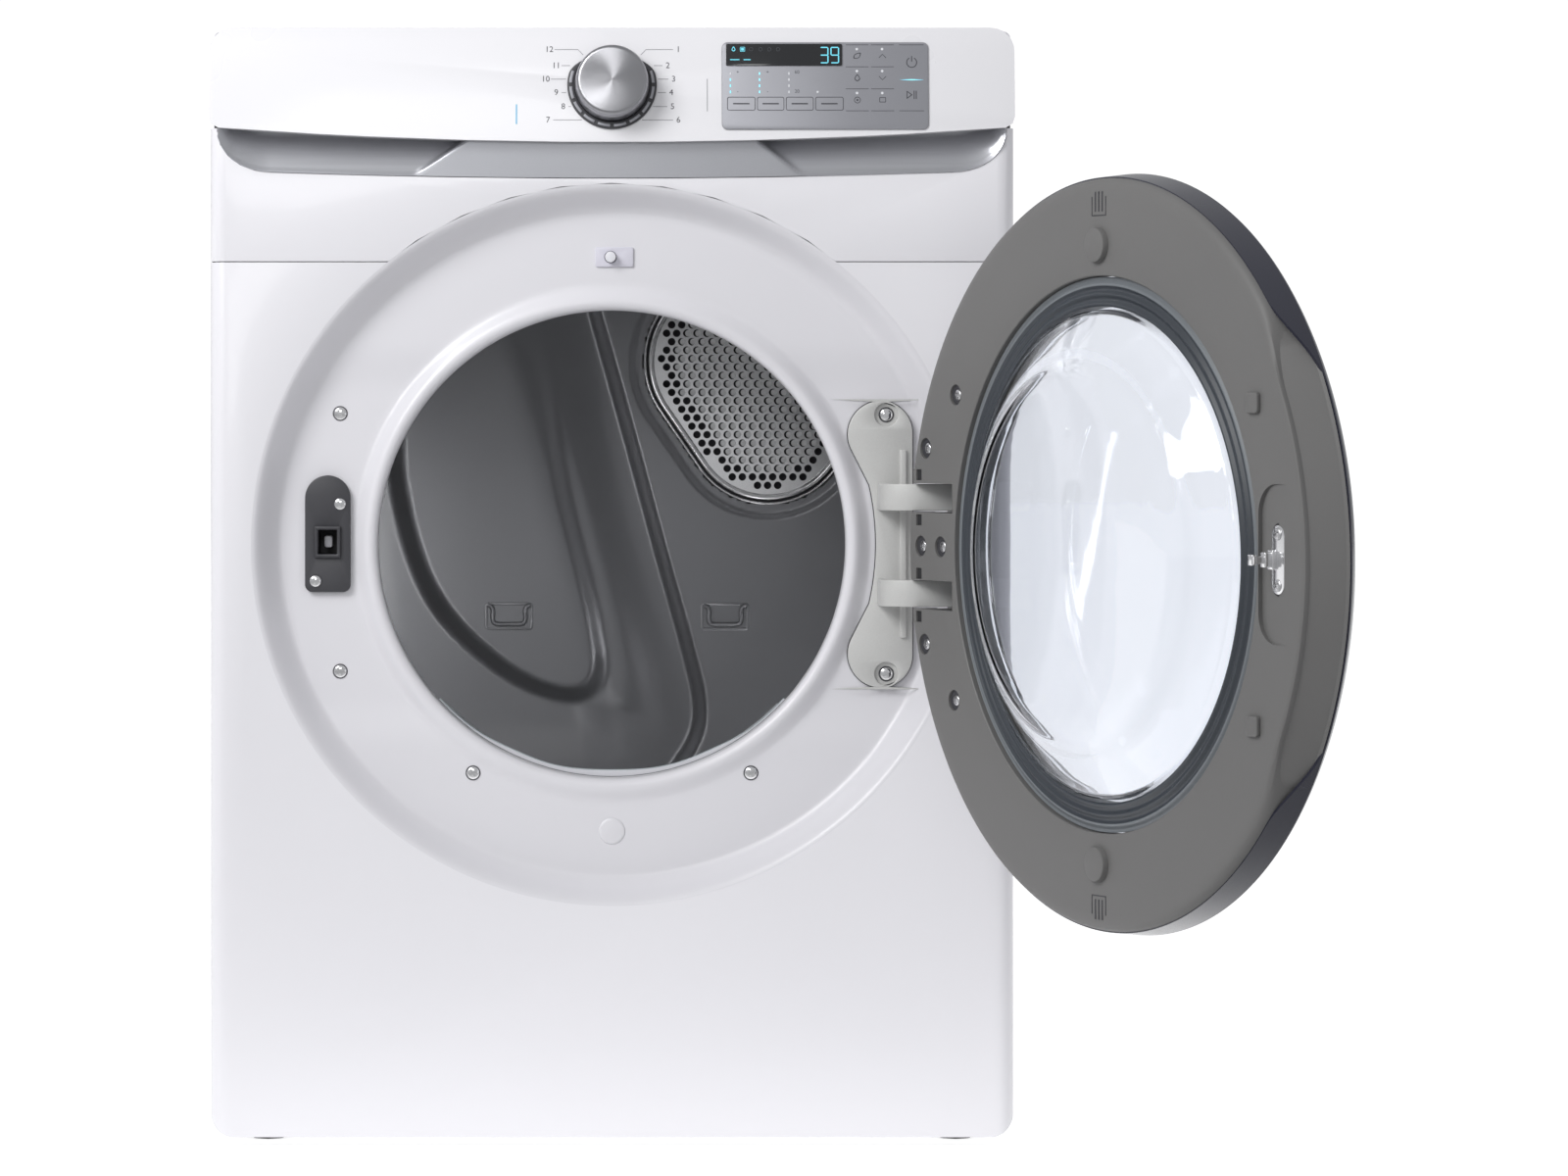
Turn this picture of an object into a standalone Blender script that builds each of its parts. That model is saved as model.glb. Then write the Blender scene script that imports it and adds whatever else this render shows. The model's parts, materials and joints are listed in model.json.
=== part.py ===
"""A front-loading tumble dryer with its round door open, built as the assembly it is.

Units are metres, +Z is up and the front faces -Y. The origin is the centre of the base pan's underside.
A depth called "forward" is measured from the front sheet's plane towards the user, negative inside.
"""

import math

import bmesh
import bpy
from mathutils import Matrix, Vector
from mathutils.geometry import tessellate_polygon

# Cabinet
WIDTH = 0.686
HEIGHT = 0.946
DEPTH = 0.720
FRONT_Y = -DEPTH / 2
BACK_Y = DEPTH / 2
SHEET = 0.0008
PAN_SHEET = 0.0012
GAP = 0.0004
RETURN_DEPTH = 0.030
EDGE_RADIUS = 0.014
BOTTOM_CORNER_RADIUS = 0.022
SEAM_Z = 0.746
SIDE_BOTTOM_Z = 0.013
TOP_SKIRT = 0.021

# Door opening and the dish round it
OPENING_Z = 0.505
OPENING_RADIUS = 0.2004
DISH_RADIUS = 0.3078
DISH_FLOOR = -0.026
FLANGE_BACK = -0.040

# Control panel
PANEL_BOTTOM_Z = 0.848
PANEL_LEAN = 0.012
PANEL_BACK = -0.044
PANEL_WALL = 0.003
PANEL_SAG = 0.012
PANEL_TOP_RADIUS = 0.020
TRIM_BOTTOM_Z = 0.818
TRIM_HALF = 0.336
KNOB_Z = 0.8965
KNOB_RADIUS = 0.032

# Drum and its supports
DRUM_RADIUS = 0.318
DRUM_WALL = 0.0008
DRUM_FRONT = -0.092
DRUM_REAR = -0.638
FRONT_WALL = -0.079
REAR_WALL = -0.650
RING_RADIUS = 0.3090
SEAL_RADIUS = 0.3160
ROLLER_RADIUS = 0.036
ROLLER_ANGLE = math.radians(38)

# Drive under the drum
MOTOR_X = 0.120
MOTOR_Z = 0.105
BELT_FORWARD = -0.3245
BELT_WIDTH = 0.009
BELT_THICKNESS = 0.002
PULLEY_RADIUS = 0.011
IDLER_RADIUS = 0.028
IDLER_X = 0.0
IDLER_Z = 0.085
DUCT_X = -0.150
DUCT_Z = 0.085
DUCT_RADIUS = 0.0508

# Door and hinge
HINGE_X = 0.287
HINGE_FORWARD = 0.026
DOOR_OPEN_DEG = 117.5
DOOR_RADIUS = 0.3036
DOOR_FACE = -0.036
ARM_HEIGHT = 0.0226
ARM_HEIGHTS = (0.4645, 0.546)
LATCH_X = -0.2435
LATCH_Z = 0.507
SWITCH_Z = 0.751

FOOT_X = 0.296
FOOT_Y = 0.300
FOOT_DROP = 0.0075
ROUND_STEPS = 36
DOOR_STEPS = 44

FORWARD_TURN = math.radians(90)


def clear_scene():
    for old in list(bpy.data.objects):
        bpy.data.objects.remove(old)


def make_material(name, colour, roughness, metallic=0.0, alpha=1.0):
    made = bpy.data.materials.new(name)
    made.use_nodes = True
    shader = made.node_tree.nodes["Principled BSDF"]
    shader.inputs["Base Color"].default_value = (*colour, 1.0)
    shader.inputs["Roughness"].default_value = roughness
    shader.inputs["Metallic"].default_value = metallic
    shader.inputs["Alpha"].default_value = alpha
    return made


def add_object(name, vertices, faces, finish, origin=(0, 0, 0), turn=0.0):
    """One closed mesh, with its faces pointing out, as an object at its origin."""
    mesh = bpy.data.meshes.new(name)
    mesh.from_pydata(vertices, [], faces)
    work = bmesh.new()
    work.from_mesh(mesh)
    bmesh.ops.recalc_face_normals(work, faces=work.faces)
    work.to_mesh(mesh)
    work.free()
    mesh.shade_smooth()
    mesh.set_sharp_from_angle(angle=math.radians(30))
    made = bpy.data.objects.new(name, mesh)
    made.location = origin
    made.rotation_euler.x = turn
    bpy.context.scene.collection.objects.link(made)
    mesh.materials.append(finish)
    return made


def placed(axis, first, second, height):
    """A point of an outline drawn across an axis: (y, z) across X, (x, z) across Y and (x, y) across Z."""
    if axis == "X":
        return (height, first, second)
    if axis == "Y":
        return (first, height, second)
    return (first, second, height)


def prism(name, outline, low, high, axis, finish, holes=(), origin=(0, 0, 0)):
    """An outline, with any holes, extruded along an axis from low to high."""
    loops = [list(outline)] + [list(hole) for hole in holes]
    flat = [point for loop in loops for point in loop]
    count = len(flat)
    shift = Vector(origin)
    vertices = [Vector(placed(axis, *point, low)) - shift for point in flat]
    vertices += [Vector(placed(axis, *point, high)) - shift for point in flat]
    caps = tessellate_polygon([[Vector((*point, 0)) for point in loop] for loop in loops])
    faces = [tuple(cap) for cap in caps]
    faces += [tuple(corner + count for corner in cap) for cap in caps]
    start = 0
    for loop in loops:
        size = len(loop)
        for step in range(size):
            here = start + step
            after = start + (step + 1) % size
            faces.append((here, after, after + count, here + count))
        start += size
    return add_object(name, vertices, faces, finish, origin)


def box(name, low, high, finish, origin=(0, 0, 0)):
    outline = [(low[0], low[1]), (high[0], low[1]), (high[0], high[1]), (low[0], high[1])]
    return prism(name, outline, low[2], high[2], "Z", finish, origin=origin)


def lathe(name, profile, origin, steps, finish, turn=FORWARD_TURN):
    """A profile of (radius, height) turned round its own axis, which a quarter turn points forward."""
    rings = []
    vertices = []
    for radius, height in profile:
        if radius == 0:
            rings.append([len(vertices)] * steps)
            vertices.append((0.0, 0.0, height))
            continue
        rings.append([len(vertices) + step for step in range(steps)])
        for step in range(steps):
            angle = math.tau * step / steps
            vertices.append((radius * math.cos(angle), radius * math.sin(angle), height))
    closed = profile[0][0] > 0 or profile[-1][0] > 0
    pairs = list(zip(rings, rings[1:] + rings[:1] if closed else rings[1:]))
    faces = []
    for inner, outer in pairs:
        for step in range(steps):
            after = (step + 1) % steps
            corners = [inner[step], inner[after], outer[after], outer[step]]
            faces.append(tuple(dict.fromkeys(corners)))
    faces = [face for face in faces if len(face) > 2]
    return add_object(name, vertices, faces, finish, origin, turn)


def rod(name, radius, low, high, origin, steps, finish, turn=FORWARD_TURN):
    return lathe(name, [(0, low), (radius, low), (radius, high), (0, high)], origin, steps, finish, turn)


def tube(name, inner, outer, low, high, origin, steps, finish, turn=FORWARD_TURN):
    profile = [(inner, low), (outer, low), (outer, high), (inner, high)]
    return lathe(name, profile, origin, steps, finish, turn)


def combine(target, other, operation):
    """Applies a Boolean to the target and removes the other object."""
    step = target.modifiers.new("combine", "BOOLEAN")
    step.operation = operation
    step.object = other
    bpy.context.view_layer.update()
    graph = bpy.context.evaluated_depsgraph_get()
    result = bpy.data.meshes.new_from_object(target.evaluated_get(graph))
    finish = target.data.materials[0]
    target.modifiers.clear()
    target.data = result
    result.name = target.name
    result.materials.clear()
    result.materials.append(finish)
    result.polygons.foreach_set("material_index", [0] * len(result.polygons))
    result.shade_smooth()
    result.set_sharp_from_angle(angle=math.radians(30))
    bpy.data.objects.remove(other)
    return target


def cut(target, *cutters):
    for cutter in cutters:
        combine(target, cutter, "DIFFERENCE")
    return target


def join(target, *others):
    for other in others:
        combine(target, other, "UNION")
    return target


def arc(centre_a, centre_b, radius, start_deg, end_deg, steps):
    points = []
    for step in range(steps + 1):
        angle = math.radians(start_deg + (end_deg - start_deg) * step / steps)
        points.append((centre_a + radius * math.cos(angle), centre_b + radius * math.sin(angle)))
    return points


def circle(centre_a, centre_b, radius, steps):
    return arc(centre_a, centre_b, radius, 0, 360 - 360 / steps, steps - 1)


def rounded_box(low_a, low_b, high_a, high_b, radius, steps=4):
    points = arc(high_a - radius, high_b - radius, radius, 0, 90, steps)
    points += arc(low_a + radius, high_b - radius, radius, 90, 180, steps)
    points += arc(low_a + radius, low_b + radius, radius, 180, 270, steps)
    points += arc(high_a - radius, low_b + radius, radius, 270, 360, steps)
    return points


def sheet_outline(path, thickness):
    """The outline of a bent sheet whose outer side follows the path and whose inner side is on its left."""
    inner = []
    for index, point in enumerate(path):
        before = path[max(index - 1, 0)]
        after = path[min(index + 1, len(path) - 1)]
        sides = []
        for start, end in ((before, point), (point, after)):
            run = Vector(end) - Vector(start)
            if run.length > 0:
                run.normalize()
                sides.append(Vector((-run.y, run.x)))
        normal = sum(sides, Vector((0.0, 0.0))).normalized()
        reach = thickness / normal.dot(sides[0])
        inner.append(tuple(Vector(point) + normal * reach))
    return list(path) + inner[::-1]


def at_front(forward):
    return FRONT_Y - forward


def front_section():
    """The front sheet's bend seen from above: face, rounded vertical edges and side returns."""
    half = WIDTH / 2
    path = [(-half, FRONT_Y + RETURN_DEPTH)]
    path += arc(-half + EDGE_RADIUS, FRONT_Y + EDGE_RADIUS, EDGE_RADIUS, 180, 270, 5)
    path += arc(half - EDGE_RADIUS, FRONT_Y + EDGE_RADIUS, EDGE_RADIUS, 270, 360, 5)
    path.append((half, FRONT_Y + RETURN_DEPTH))
    return sheet_outline(path, SHEET)


def dish_profile():
    """The stamped dish from its outer edge, down its wall and over the lip into the opening's flange."""
    rim = OPENING_RADIUS
    wall = 0.0010
    front = [
        (DISH_RADIUS, -0.0002),
        (0.3048, -0.0035),
        (0.2945, -0.0185),
        (0.2850, DISH_FLOOR),
        (0.2190, DISH_FLOOR),
        (0.2130, -0.0200),
        (0.2060, -0.0170),
        (rim, -0.0205),
        (rim, FLANGE_BACK),
    ]
    back = [
        (rim + wall, FLANGE_BACK),
        (rim + wall, -0.0214),
        (0.2062, -0.0182),
        (0.2122, -0.0210),
        (0.2183, DISH_FLOOR - wall),
        (0.2860, DISH_FLOOR - wall),
        (0.2957, -0.0195),
        (0.3056, -0.0046),
        (DISH_RADIUS, -0.0010),
    ]
    return front + back


def build_front_panel(white):
    half = WIDTH / 2
    panel = prism("front_panel", front_section(), 0.0, SEAM_Z, "Z", white)
    spare = 0.0005
    corner = rounded_box(-half - spare, -spare, half + spare, 2 * SEAM_Z, BOTTOM_CORNER_RADIUS + spare, 6)
    keep = prism("keep", corner, FRONT_Y - 0.01, FRONT_Y + 0.05, "Y", white)
    combine(panel, keep, "INTERSECT")
    centre = (0, FRONT_Y, OPENING_Z)
    dish = lathe("dish", dish_profile(), centre, DOOR_STEPS, white)
    back = at_front(-0.04)
    front = at_front(-0.02)
    switch_low = (-0.0110, front, SWITCH_Z - 0.0065)
    switch_high = (0.0115, back, SWITCH_Z + 0.0065)
    latch_low = (LATCH_X - 0.0130, front, LATCH_Z - 0.0155)
    latch_high = (LATCH_X + 0.0130, back, LATCH_Z + 0.0155)
    cut(dish, box("switch_hole", switch_low, switch_high, white))
    cut(dish, box("latch_hole", latch_low, latch_high, white))
    cut(panel, rod("hole", DISH_RADIUS - 0.0010, -0.02, 0.02, centre, DOOR_STEPS, white))
    return join(panel, dish)


def trim_outline(grow):
    """The silver trim seen from the front: a shallow smile whose ends sweep up to the panel's corners."""
    bottom = []
    for step in range(-6, 7):
        x = 0.290 * step / 6
        bottom.append((x, TRIM_BOTTOM_Z + 0.005 * (x / 0.290) ** 2 - grow))
    right = []
    for step in range(1, 6):
        angle = math.radians(90 * step / 5)
        across = (TRIM_HALF - 0.290) * math.sin(angle)
        up = 0.034 * (1 - math.cos(angle))
        right.append((0.290 + across + grow * math.sin(angle), 0.823 + up - grow * math.cos(angle)))
    left = [(-x, z) for x, z in reversed(right)]
    top = []
    for step in range(6, -7, -1):
        x = (TRIM_HALF + grow) * step / 6
        top.append((x, panel_bottom(x) - 0.0020 + grow))
    return bottom + right + top + left


def panel_bottom(x):
    return PANEL_BOTTOM_Z + PANEL_SAG * (x / 0.33) ** 2


def build_upper_front(white):
    panel = prism("upper_front_panel", front_section(), SEAM_Z + 0.0008, 0.8605, "Z", white)
    centre = (0, FRONT_Y, OPENING_Z)
    cut(
        panel,
        rod("arch", DISH_RADIUS + 0.0008, -0.05, 0.02, centre, DOOR_STEPS, white),
        prism("trim_gap", trim_outline(0.0006), FRONT_Y - 0.01, FRONT_Y + 0.028, "Y", white),
        box("lip_gap", (-0.325, FRONT_Y - 0.01, 0.8455), (0.325, FRONT_Y + 0.05, 0.9), white),
        box("end_gap", (-0.3368, FRONT_Y - 0.01, 0.8568), (0.3368, FRONT_Y + 0.05, 0.9), white),
    )
    return panel


def build_handle_trim(silver):
    trim = prism("handle_trim", trim_outline(0.0), at_front(0.001), at_front(-0.022), "Y", silver)
    wedge = [
        (at_front(0.004), 0.8235),
        (at_front(-0.016), 0.8400),
        (at_front(-0.016), 0.8800),
        (at_front(0.004), 0.8800),
    ]
    for low, high in ((-0.331, -0.150), (0.146, 0.331)):
        cut(trim, prism("scoop", wedge, low, high, "X", silver))
    return trim


def face_y(z):
    """The control panel's face leans back towards its top."""
    return FRONT_Y - PANEL_LEAN * (HEIGHT - z) / (HEIGHT - PANEL_BOTTOM_Z)


def leaning(name, outline, near, far, finish):
    """A plate parallel to the control panel's face, from near to far in front of it."""
    made = prism(name, outline, 0.0, 1.0, "Y", finish)
    for vertex in made.data.vertices:
        forward = near if vertex.co.y > 0.5 else far
        vertex.co.y = face_y(vertex.co.z) - forward
    return made


def panel_outline(inset):
    half = WIDTH / 2 - inset
    top = HEIGHT - inset
    radius = PANEL_TOP_RADIUS - inset
    points = []
    for step in range(-8, 9):
        x = (half - 0.008) * step / 8
        points.append((x, panel_bottom(x) + inset))
    points.append((half - 0.002, panel_bottom(half) + inset + 0.003))
    points.append((half, panel_bottom(half) + inset + 0.009))
    points += arc(half - radius, top - radius, radius, 0, 90, 6)
    points += arc(-half + radius, top - radius, radius, 90, 180, 6)
    points.append((-half, panel_bottom(half) + inset + 0.009))
    points.append((-half + 0.002, panel_bottom(half) + inset + 0.003))
    return points


def build_control_panel(white):
    panel = prism("control_panel", panel_outline(0.0), 0.0, 1.0, "Y", white)
    hollow = prism("hollow", panel_outline(PANEL_WALL), 0.0, 1.0, "Y", white)
    for made, front, back in ((panel, 0.0, PANEL_BACK), (hollow, -PANEL_WALL, PANEL_BACK - 0.01)):
        for vertex in made.data.vertices:
            vertex.co.y = at_front(back) if vertex.co.y > 0.5 else face_y(vertex.co.z) - front
    cut(panel, hollow)
    stem_hole = rod("stem_hole", 0.0045, -0.02, 0.02, knob_centre(), 12, white, knob_turn())
    return cut(panel, stem_hole)


def knob_centre():
    return (0, face_y(KNOB_Z), KNOB_Z)


def knob_turn():
    lean = math.atan(PANEL_LEAN / (HEIGHT - PANEL_BOTTOM_Z))
    return FORWARD_TURN - lean


def build_controls(silver, black, green, dark, steel):
    leaning("control_plate", rounded_box(0.094, 0.862, 0.269, 0.935, 0.004), 0.0004, 0.0014, silver)
    leaning("display_window", rounded_box(0.097, 0.913, 0.196, 0.932, 0.001, 1), 0.0018, 0.0024, black)
    leaning("control_board", rounded_box(0.060, 0.870, 0.300, 0.934, 0.002, 1), -0.014, -0.012, green)
    ring = [(0.0335, 0.0004), (0.0380, 0.0004), (0.0380, 0.0030), (0.0365, 0.0044), (0.0335, 0.0044)]
    lathe("knob_bezel", ring, knob_centre(), 24, dark, knob_turn())
    knob = [
        (0, 0.0280),
        (0.0270, 0.0275),
        (0.0300, 0.0262),
        (0.0312, 0.0240),
        (KNOB_RADIUS, 0.0060),
        (0.0300, 0.0060),
        (0.0290, 0.0240),
        (0.0060, 0.0240),
        (0.0040, 0.0060),
        (0.0040, -0.0110),
        (0, -0.0110),
    ]
    lathe("selector_knob", knob, knob_centre(), 24, steel, knob_turn())


def build_cabinet(white, galvanised):
    half = WIDTH / 2
    side = [
        (FRONT_Y + RETURN_DEPTH + GAP, SIDE_BOTTOM_Z),
        (BACK_Y - SHEET - GAP, SIDE_BOTTOM_Z),
        (BACK_Y - SHEET - GAP, HEIGHT - TOP_SKIRT - GAP),
        (at_front(PANEL_BACK) + GAP, HEIGHT - TOP_SKIRT - GAP),
        (at_front(PANEL_BACK) + GAP, 0.8611),
        (FRONT_Y + RETURN_DEPTH + GAP, 0.8611),
    ]
    prism("left_side_panel", side, -half, -half + SHEET, "X", white)
    prism("right_side_panel", side, half - SHEET, half, "X", white)

    top_path = [(half, HEIGHT - TOP_SKIRT)]
    top_path += arc(half - 0.006, HEIGHT - 0.006, 0.006, 0, 90, 4)
    top_path += arc(-half + 0.006, HEIGHT - 0.006, 0.006, 90, 180, 4)
    top_path.append((-half, HEIGHT - TOP_SKIRT))
    top = sheet_outline(top_path, SHEET)
    prism("top_panel", top, at_front(PANEL_BACK) + GAP, BACK_Y, "Y", white)

    pan_half = half - SHEET - GAP
    pan_path = [(-pan_half, 0.035), (-pan_half, 0.014), (-pan_half + 0.014, 0.0)]
    pan_path += [(pan_half - 0.014, 0.0), (pan_half, 0.014), (pan_half, 0.035)]
    pan_section = sheet_outline(pan_path, PAN_SHEET)
    pan = prism("base_pan", pan_section, FRONT_Y + EDGE_RADIUS, BACK_Y - SHEET - GAP, "Y", galvanised)
    for x, y in foot_places():
        cut(pan, rod("foot_hole", 0.0060, -0.01, 0.01, (x, y, 0), 12, galvanised, 0.0))

    rear_half = half - 0.0013
    rear = rounded_box(-rear_half, 0.0015, rear_half, HEIGHT - SHEET - GAP, 0.006, 2)
    collar_hole = circle(DUCT_X, DUCT_Z, DUCT_RADIUS + 0.0008, 24)
    terminal_hole = rounded_box(0.215, 0.800, 0.275, 0.840, 0.002, 1)
    rear_holes = [collar_hole, terminal_hole]
    prism("rear_panel", rear, BACK_Y - SHEET, BACK_Y, "Y", galvanised, holes=rear_holes)


def build_terminal_cover(dark):
    cover = box("terminal_cover", (0.200, BACK_Y + GAP, 0.790), (0.290, BACK_Y + 0.014, 0.850), dark)
    cut(cover, box("inside", (0.203, BACK_Y - 0.01, 0.793), (0.287, BACK_Y + 0.011, 0.847), dark))
    cut(cover, box("cord_hole", (0.236, BACK_Y - 0.01, 0.780), (0.254, BACK_Y + 0.0085, 0.800), dark))
    return cover


def foot_places():
    return [(side * FOOT_X, end * FOOT_Y) for side in (-1, 1) for end in (-1, 1)]


def build_feet(rubber):
    names = ("foot_front_left", "foot_rear_left", "foot_front_right", "foot_rear_right")
    profile = [
        (0, -FOOT_DROP),
        (0.0165, -FOOT_DROP),
        (0.0175, -FOOT_DROP + 0.0015),
        (0.0175, -0.0015),
        (0.0160, -0.0005),
        (0.0050, -0.0005),
        (0.0050, 0.0320),
        (0, 0.0320),
    ]
    for name, (x, y) in zip(names, foot_places()):
        lathe(name, profile, (x, y, 0), 8, rubber, 0.0)


def build_door_switch(lilac, grey):
    body_low = (-0.0105, at_front(-0.025), SWITCH_Z - 0.006)
    body_high = (0.011, at_front(-0.036), SWITCH_Z + 0.006)
    housing = prism(
        "door_switch",
        rounded_box(-0.0143, SWITCH_Z - 0.0085, 0.0183, SWITCH_Z + 0.0085, 0.001, 1),
        at_front(-0.0215),
        at_front(-0.0256),
        "Y",
        lilac,
    )
    join(
        housing,
        box("body", body_low, body_high, lilac),
    )
    centre = (-0.0013, FRONT_Y, SWITCH_Z)
    cut(housing, rod("bore", 0.0052, -0.033, -0.010, centre, 16, lilac))
    rod("door_switch_button", 0.0047, -0.0275, -0.0146, centre, 16, grey)


def build_latch(dark, pale):
    plate = [(-0.224, 0.470), (-0.224, 0.5445)]
    plate += arc(LATCH_X, 0.5445, 0.0195, 0, 180, 8)[1:]
    plate += [(-0.263, 0.470), (-0.257, 0.464), (-0.230, 0.464)]
    latch = prism("latch_receptacle", plate, at_front(-0.0207), at_front(-0.0256), "Y", dark)
    low = (LATCH_X - 0.011, LATCH_Z - 0.0135)
    high = (LATCH_X + 0.011, LATCH_Z + 0.0135)
    frame_low = (low[0], at_front(-0.0145), low[1])
    frame_high = (high[0], at_front(-0.060), high[1])
    join(latch, box("frame", frame_low, frame_high, dark))
    cut(
        latch,
        box(
            "socket",
            (LATCH_X - 0.0075, at_front(-0.010), LATCH_Z - 0.0100),
            (LATCH_X + 0.0075, at_front(-0.055), LATCH_Z + 0.0100),
            dark,
        ),
    )
    centre = (LATCH_X, at_front(-0.0330), LATCH_Z)
    box(
        "latch_plunger",
        (-0.0055, 0.0, -0.0045),
        (0.0055, 0.0120, 0.0045),
        pale,
    ).location = centre


def build_front_bulkhead(galvanised, felt):
    ring = [
        (0.2030, -0.0420),
        (0.2040, -0.0420),
        (0.2040, FRONT_WALL),
        (RING_RADIUS, FRONT_WALL),
        (RING_RADIUS, -0.1180),
        (RING_RADIUS - 0.0010, -0.1180),
        (RING_RADIUS - 0.0010, FRONT_WALL - 0.0010),
        (0.2030, FRONT_WALL - 0.0010),
    ]
    centre = (0, FRONT_Y, OPENING_Z)
    wall = prism(
        "front_bulkhead",
        rounded_box(-0.338, 0.150, 0.338, 0.838, 0.03, 2),
        at_front(FRONT_WALL - 0.0002),
        at_front(FRONT_WALL - 0.0008),
        "Y",
        galvanised,
        holes=[circle(0, OPENING_Z, 0.300, ROUND_STEPS)],
    )
    join(wall, lathe("ring", ring, centre, ROUND_STEPS, galvanised))
    slot = box("slot", (-0.118, at_front(-0.046), 0.26), (0.118, at_front(-0.0725), 0.345), galvanised)
    cut(wall, slot)
    tube("front_drum_seal", RING_RADIUS + 0.0003, SEAL_RADIUS, -0.1170, -0.1000, centre, ROUND_STEPS, felt)
    return wall


def lint_outline(inset):
    """The lint duct seen from the front: wide under the door opening, narrowing to the blower's inlet."""
    return [
        (-0.125 + inset, 0.298),
        (-0.125 + inset, 0.170 + inset),
        (0.055 + inset, 0.100 + inset),
        (0.055 + inset, 0.045 + inset),
        (0.185 - inset, 0.045 + inset),
        (0.185 - inset, 0.130 - inset),
        (0.125 - inset, 0.170 + inset),
        (0.125 - inset, 0.298),
    ]


def build_lint_path(galvanised, mesh_grey):
    duct = prism("lint_duct", lint_outline(0.0), at_front(-0.0430), at_front(-0.0785), "Y", galvanised)
    inside = [(x, z + 0.02 if z > 0.29 else z) for x, z in lint_outline(0.002)]
    cut(
        duct,
        prism("inside", inside, at_front(-0.0450), at_front(-0.0765), "Y", galvanised),
        rod("outlet", 0.042, -0.09, -0.06, (MOTOR_X, FRONT_Y, MOTOR_Z), 20, galvanised),
    )

    foot = 0.185
    half = 0.112
    drop = OPENING_Z - math.sqrt(0.2016**2 - half**2)
    outline = [(-half, drop), (-half, foot), (half, foot), (half, drop)]
    side = math.degrees(math.acos(half / 0.2016))
    outline += arc(0, OPENING_Z, 0.2016, -side + 2, -44, 2)
    outline += arc(0, OPENING_Z, 0.1990, -44, -136, 16)
    outline += arc(0, OPENING_Z, 0.2016, -136, -180 + side - 2, 2)
    low_front = at_front(-0.0500)
    low_back = at_front(-0.0680)
    centre = (0, at_front(-0.0590), 0.25)
    lint = prism("lint_filter", outline, low_front, low_back, "Y", mesh_grey, origin=centre)
    pocket = box("pocket", (-0.106, at_front(-0.0520), 0.190), (0.106, at_front(-0.0660), 0.400), mesh_grey)
    return cut(lint, pocket)


def grille_outline(grow):
    """A round opening, flattened at the lower left and where it meets the drum's edge."""
    radius = 0.125 + grow
    flat = 0.111 + grow
    towards = math.radians(211)
    points = []
    for x, z in circle(0, 0, radius, 32):
        reach = x * math.cos(towards) + z * math.sin(towards)
        spare = max(0.0, reach - flat)
        place = Vector((0.155 + x - spare * math.cos(towards), 0.658 + z - spare * math.sin(towards)))
        axis = Vector((0, OPENING_Z))
        away = place - axis
        if away.length > 0.294 + grow:
            place = axis + away.normalized() * (0.294 + grow)
        points.append(tuple(place))
    return points


def build_rear_bulkhead(grey, felt, steel):
    centre = (0, FRONT_Y, OPENING_Z)
    wall = prism(
        "rear_bulkhead",
        rounded_box(-0.338, 0.150, 0.338, 0.838, 0.03, 2),
        at_front(REAR_WALL),
        at_front(REAR_WALL - 0.0010),
        "Y",
        grey,
        holes=[grille_outline(-0.006)],
    )
    inner = RING_RADIUS - 0.0010
    ring = tube("ring", inner, RING_RADIUS, REAR_WALL - 0.0005, -0.612, centre, ROUND_STEPS, grey)
    join(wall, ring)
    tube("rear_drum_seal", RING_RADIUS + 0.0003, SEAL_RADIUS, -0.6300, -0.6130, centre, ROUND_STEPS, felt)
    prism(
        "inlet_grille",
        grille_outline(0.0),
        at_front(REAR_WALL + 0.0015),
        at_front(REAR_WALL + 0.0003),
        "Y",
        steel,
    )


def sweep(name, path, radius, sides, finish):
    """A round bar along a path that lies in one plane across Y."""
    vertices = []
    for index, point in enumerate(path):
        before = Vector(path[max(index - 1, 0)])
        after = Vector(path[min(index + 1, len(path) - 1)])
        along = (after - before).normalized()
        across = along.cross(Vector((0, 1, 0))).normalized()
        for side in range(sides):
            angle = math.tau * side / sides
            spoke = across * math.cos(angle) + Vector((0, math.sin(angle), 0))
            vertices.append(Vector(point) + radius * spoke)
    faces = [tuple(range(sides)), tuple(range(len(vertices) - sides, len(vertices)))]
    for ring in range(len(path) - 1):
        for side in range(sides):
            after = (side + 1) % sides
            start = ring * sides
            faces.append((start + side, start + after, start + sides + after, start + sides + side))
    return add_object(name, vertices, faces, finish)


def build_heater(galvanised, nichrome):
    near = at_front(REAR_WALL - 0.0015)
    far = BACK_Y - SHEET - 0.006
    housing = box("heater_housing", (0.022, near, 0.170), (0.288, far, 0.800), galvanised)
    cut(
        housing,
        box("inside", (0.023, near - 0.01, 0.171), (0.287, far - 0.001, 0.799), galvanised),
        box("air_inlet", (0.060, near + 0.012, 0.150), (0.250, far - 0.012, 0.180), galvanised),
    )
    path = []
    middle = (near + far) / 2
    for turn in range(6):
        z = 0.215 + 0.040 * turn
        side = 1 if turn % 2 else -1
        path += [(0.155 - side * 0.085, middle, z), (0.155 + side * 0.085, middle, z)]
        if turn < 5:
            for x, height in arc(0, z + 0.020, 0.020, -60, 60, 3):
                path.append((0.155 + side * (0.085 + abs(x)), middle, height))
    return sweep("heater_element", path, 0.0035, 6, nichrome)


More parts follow.
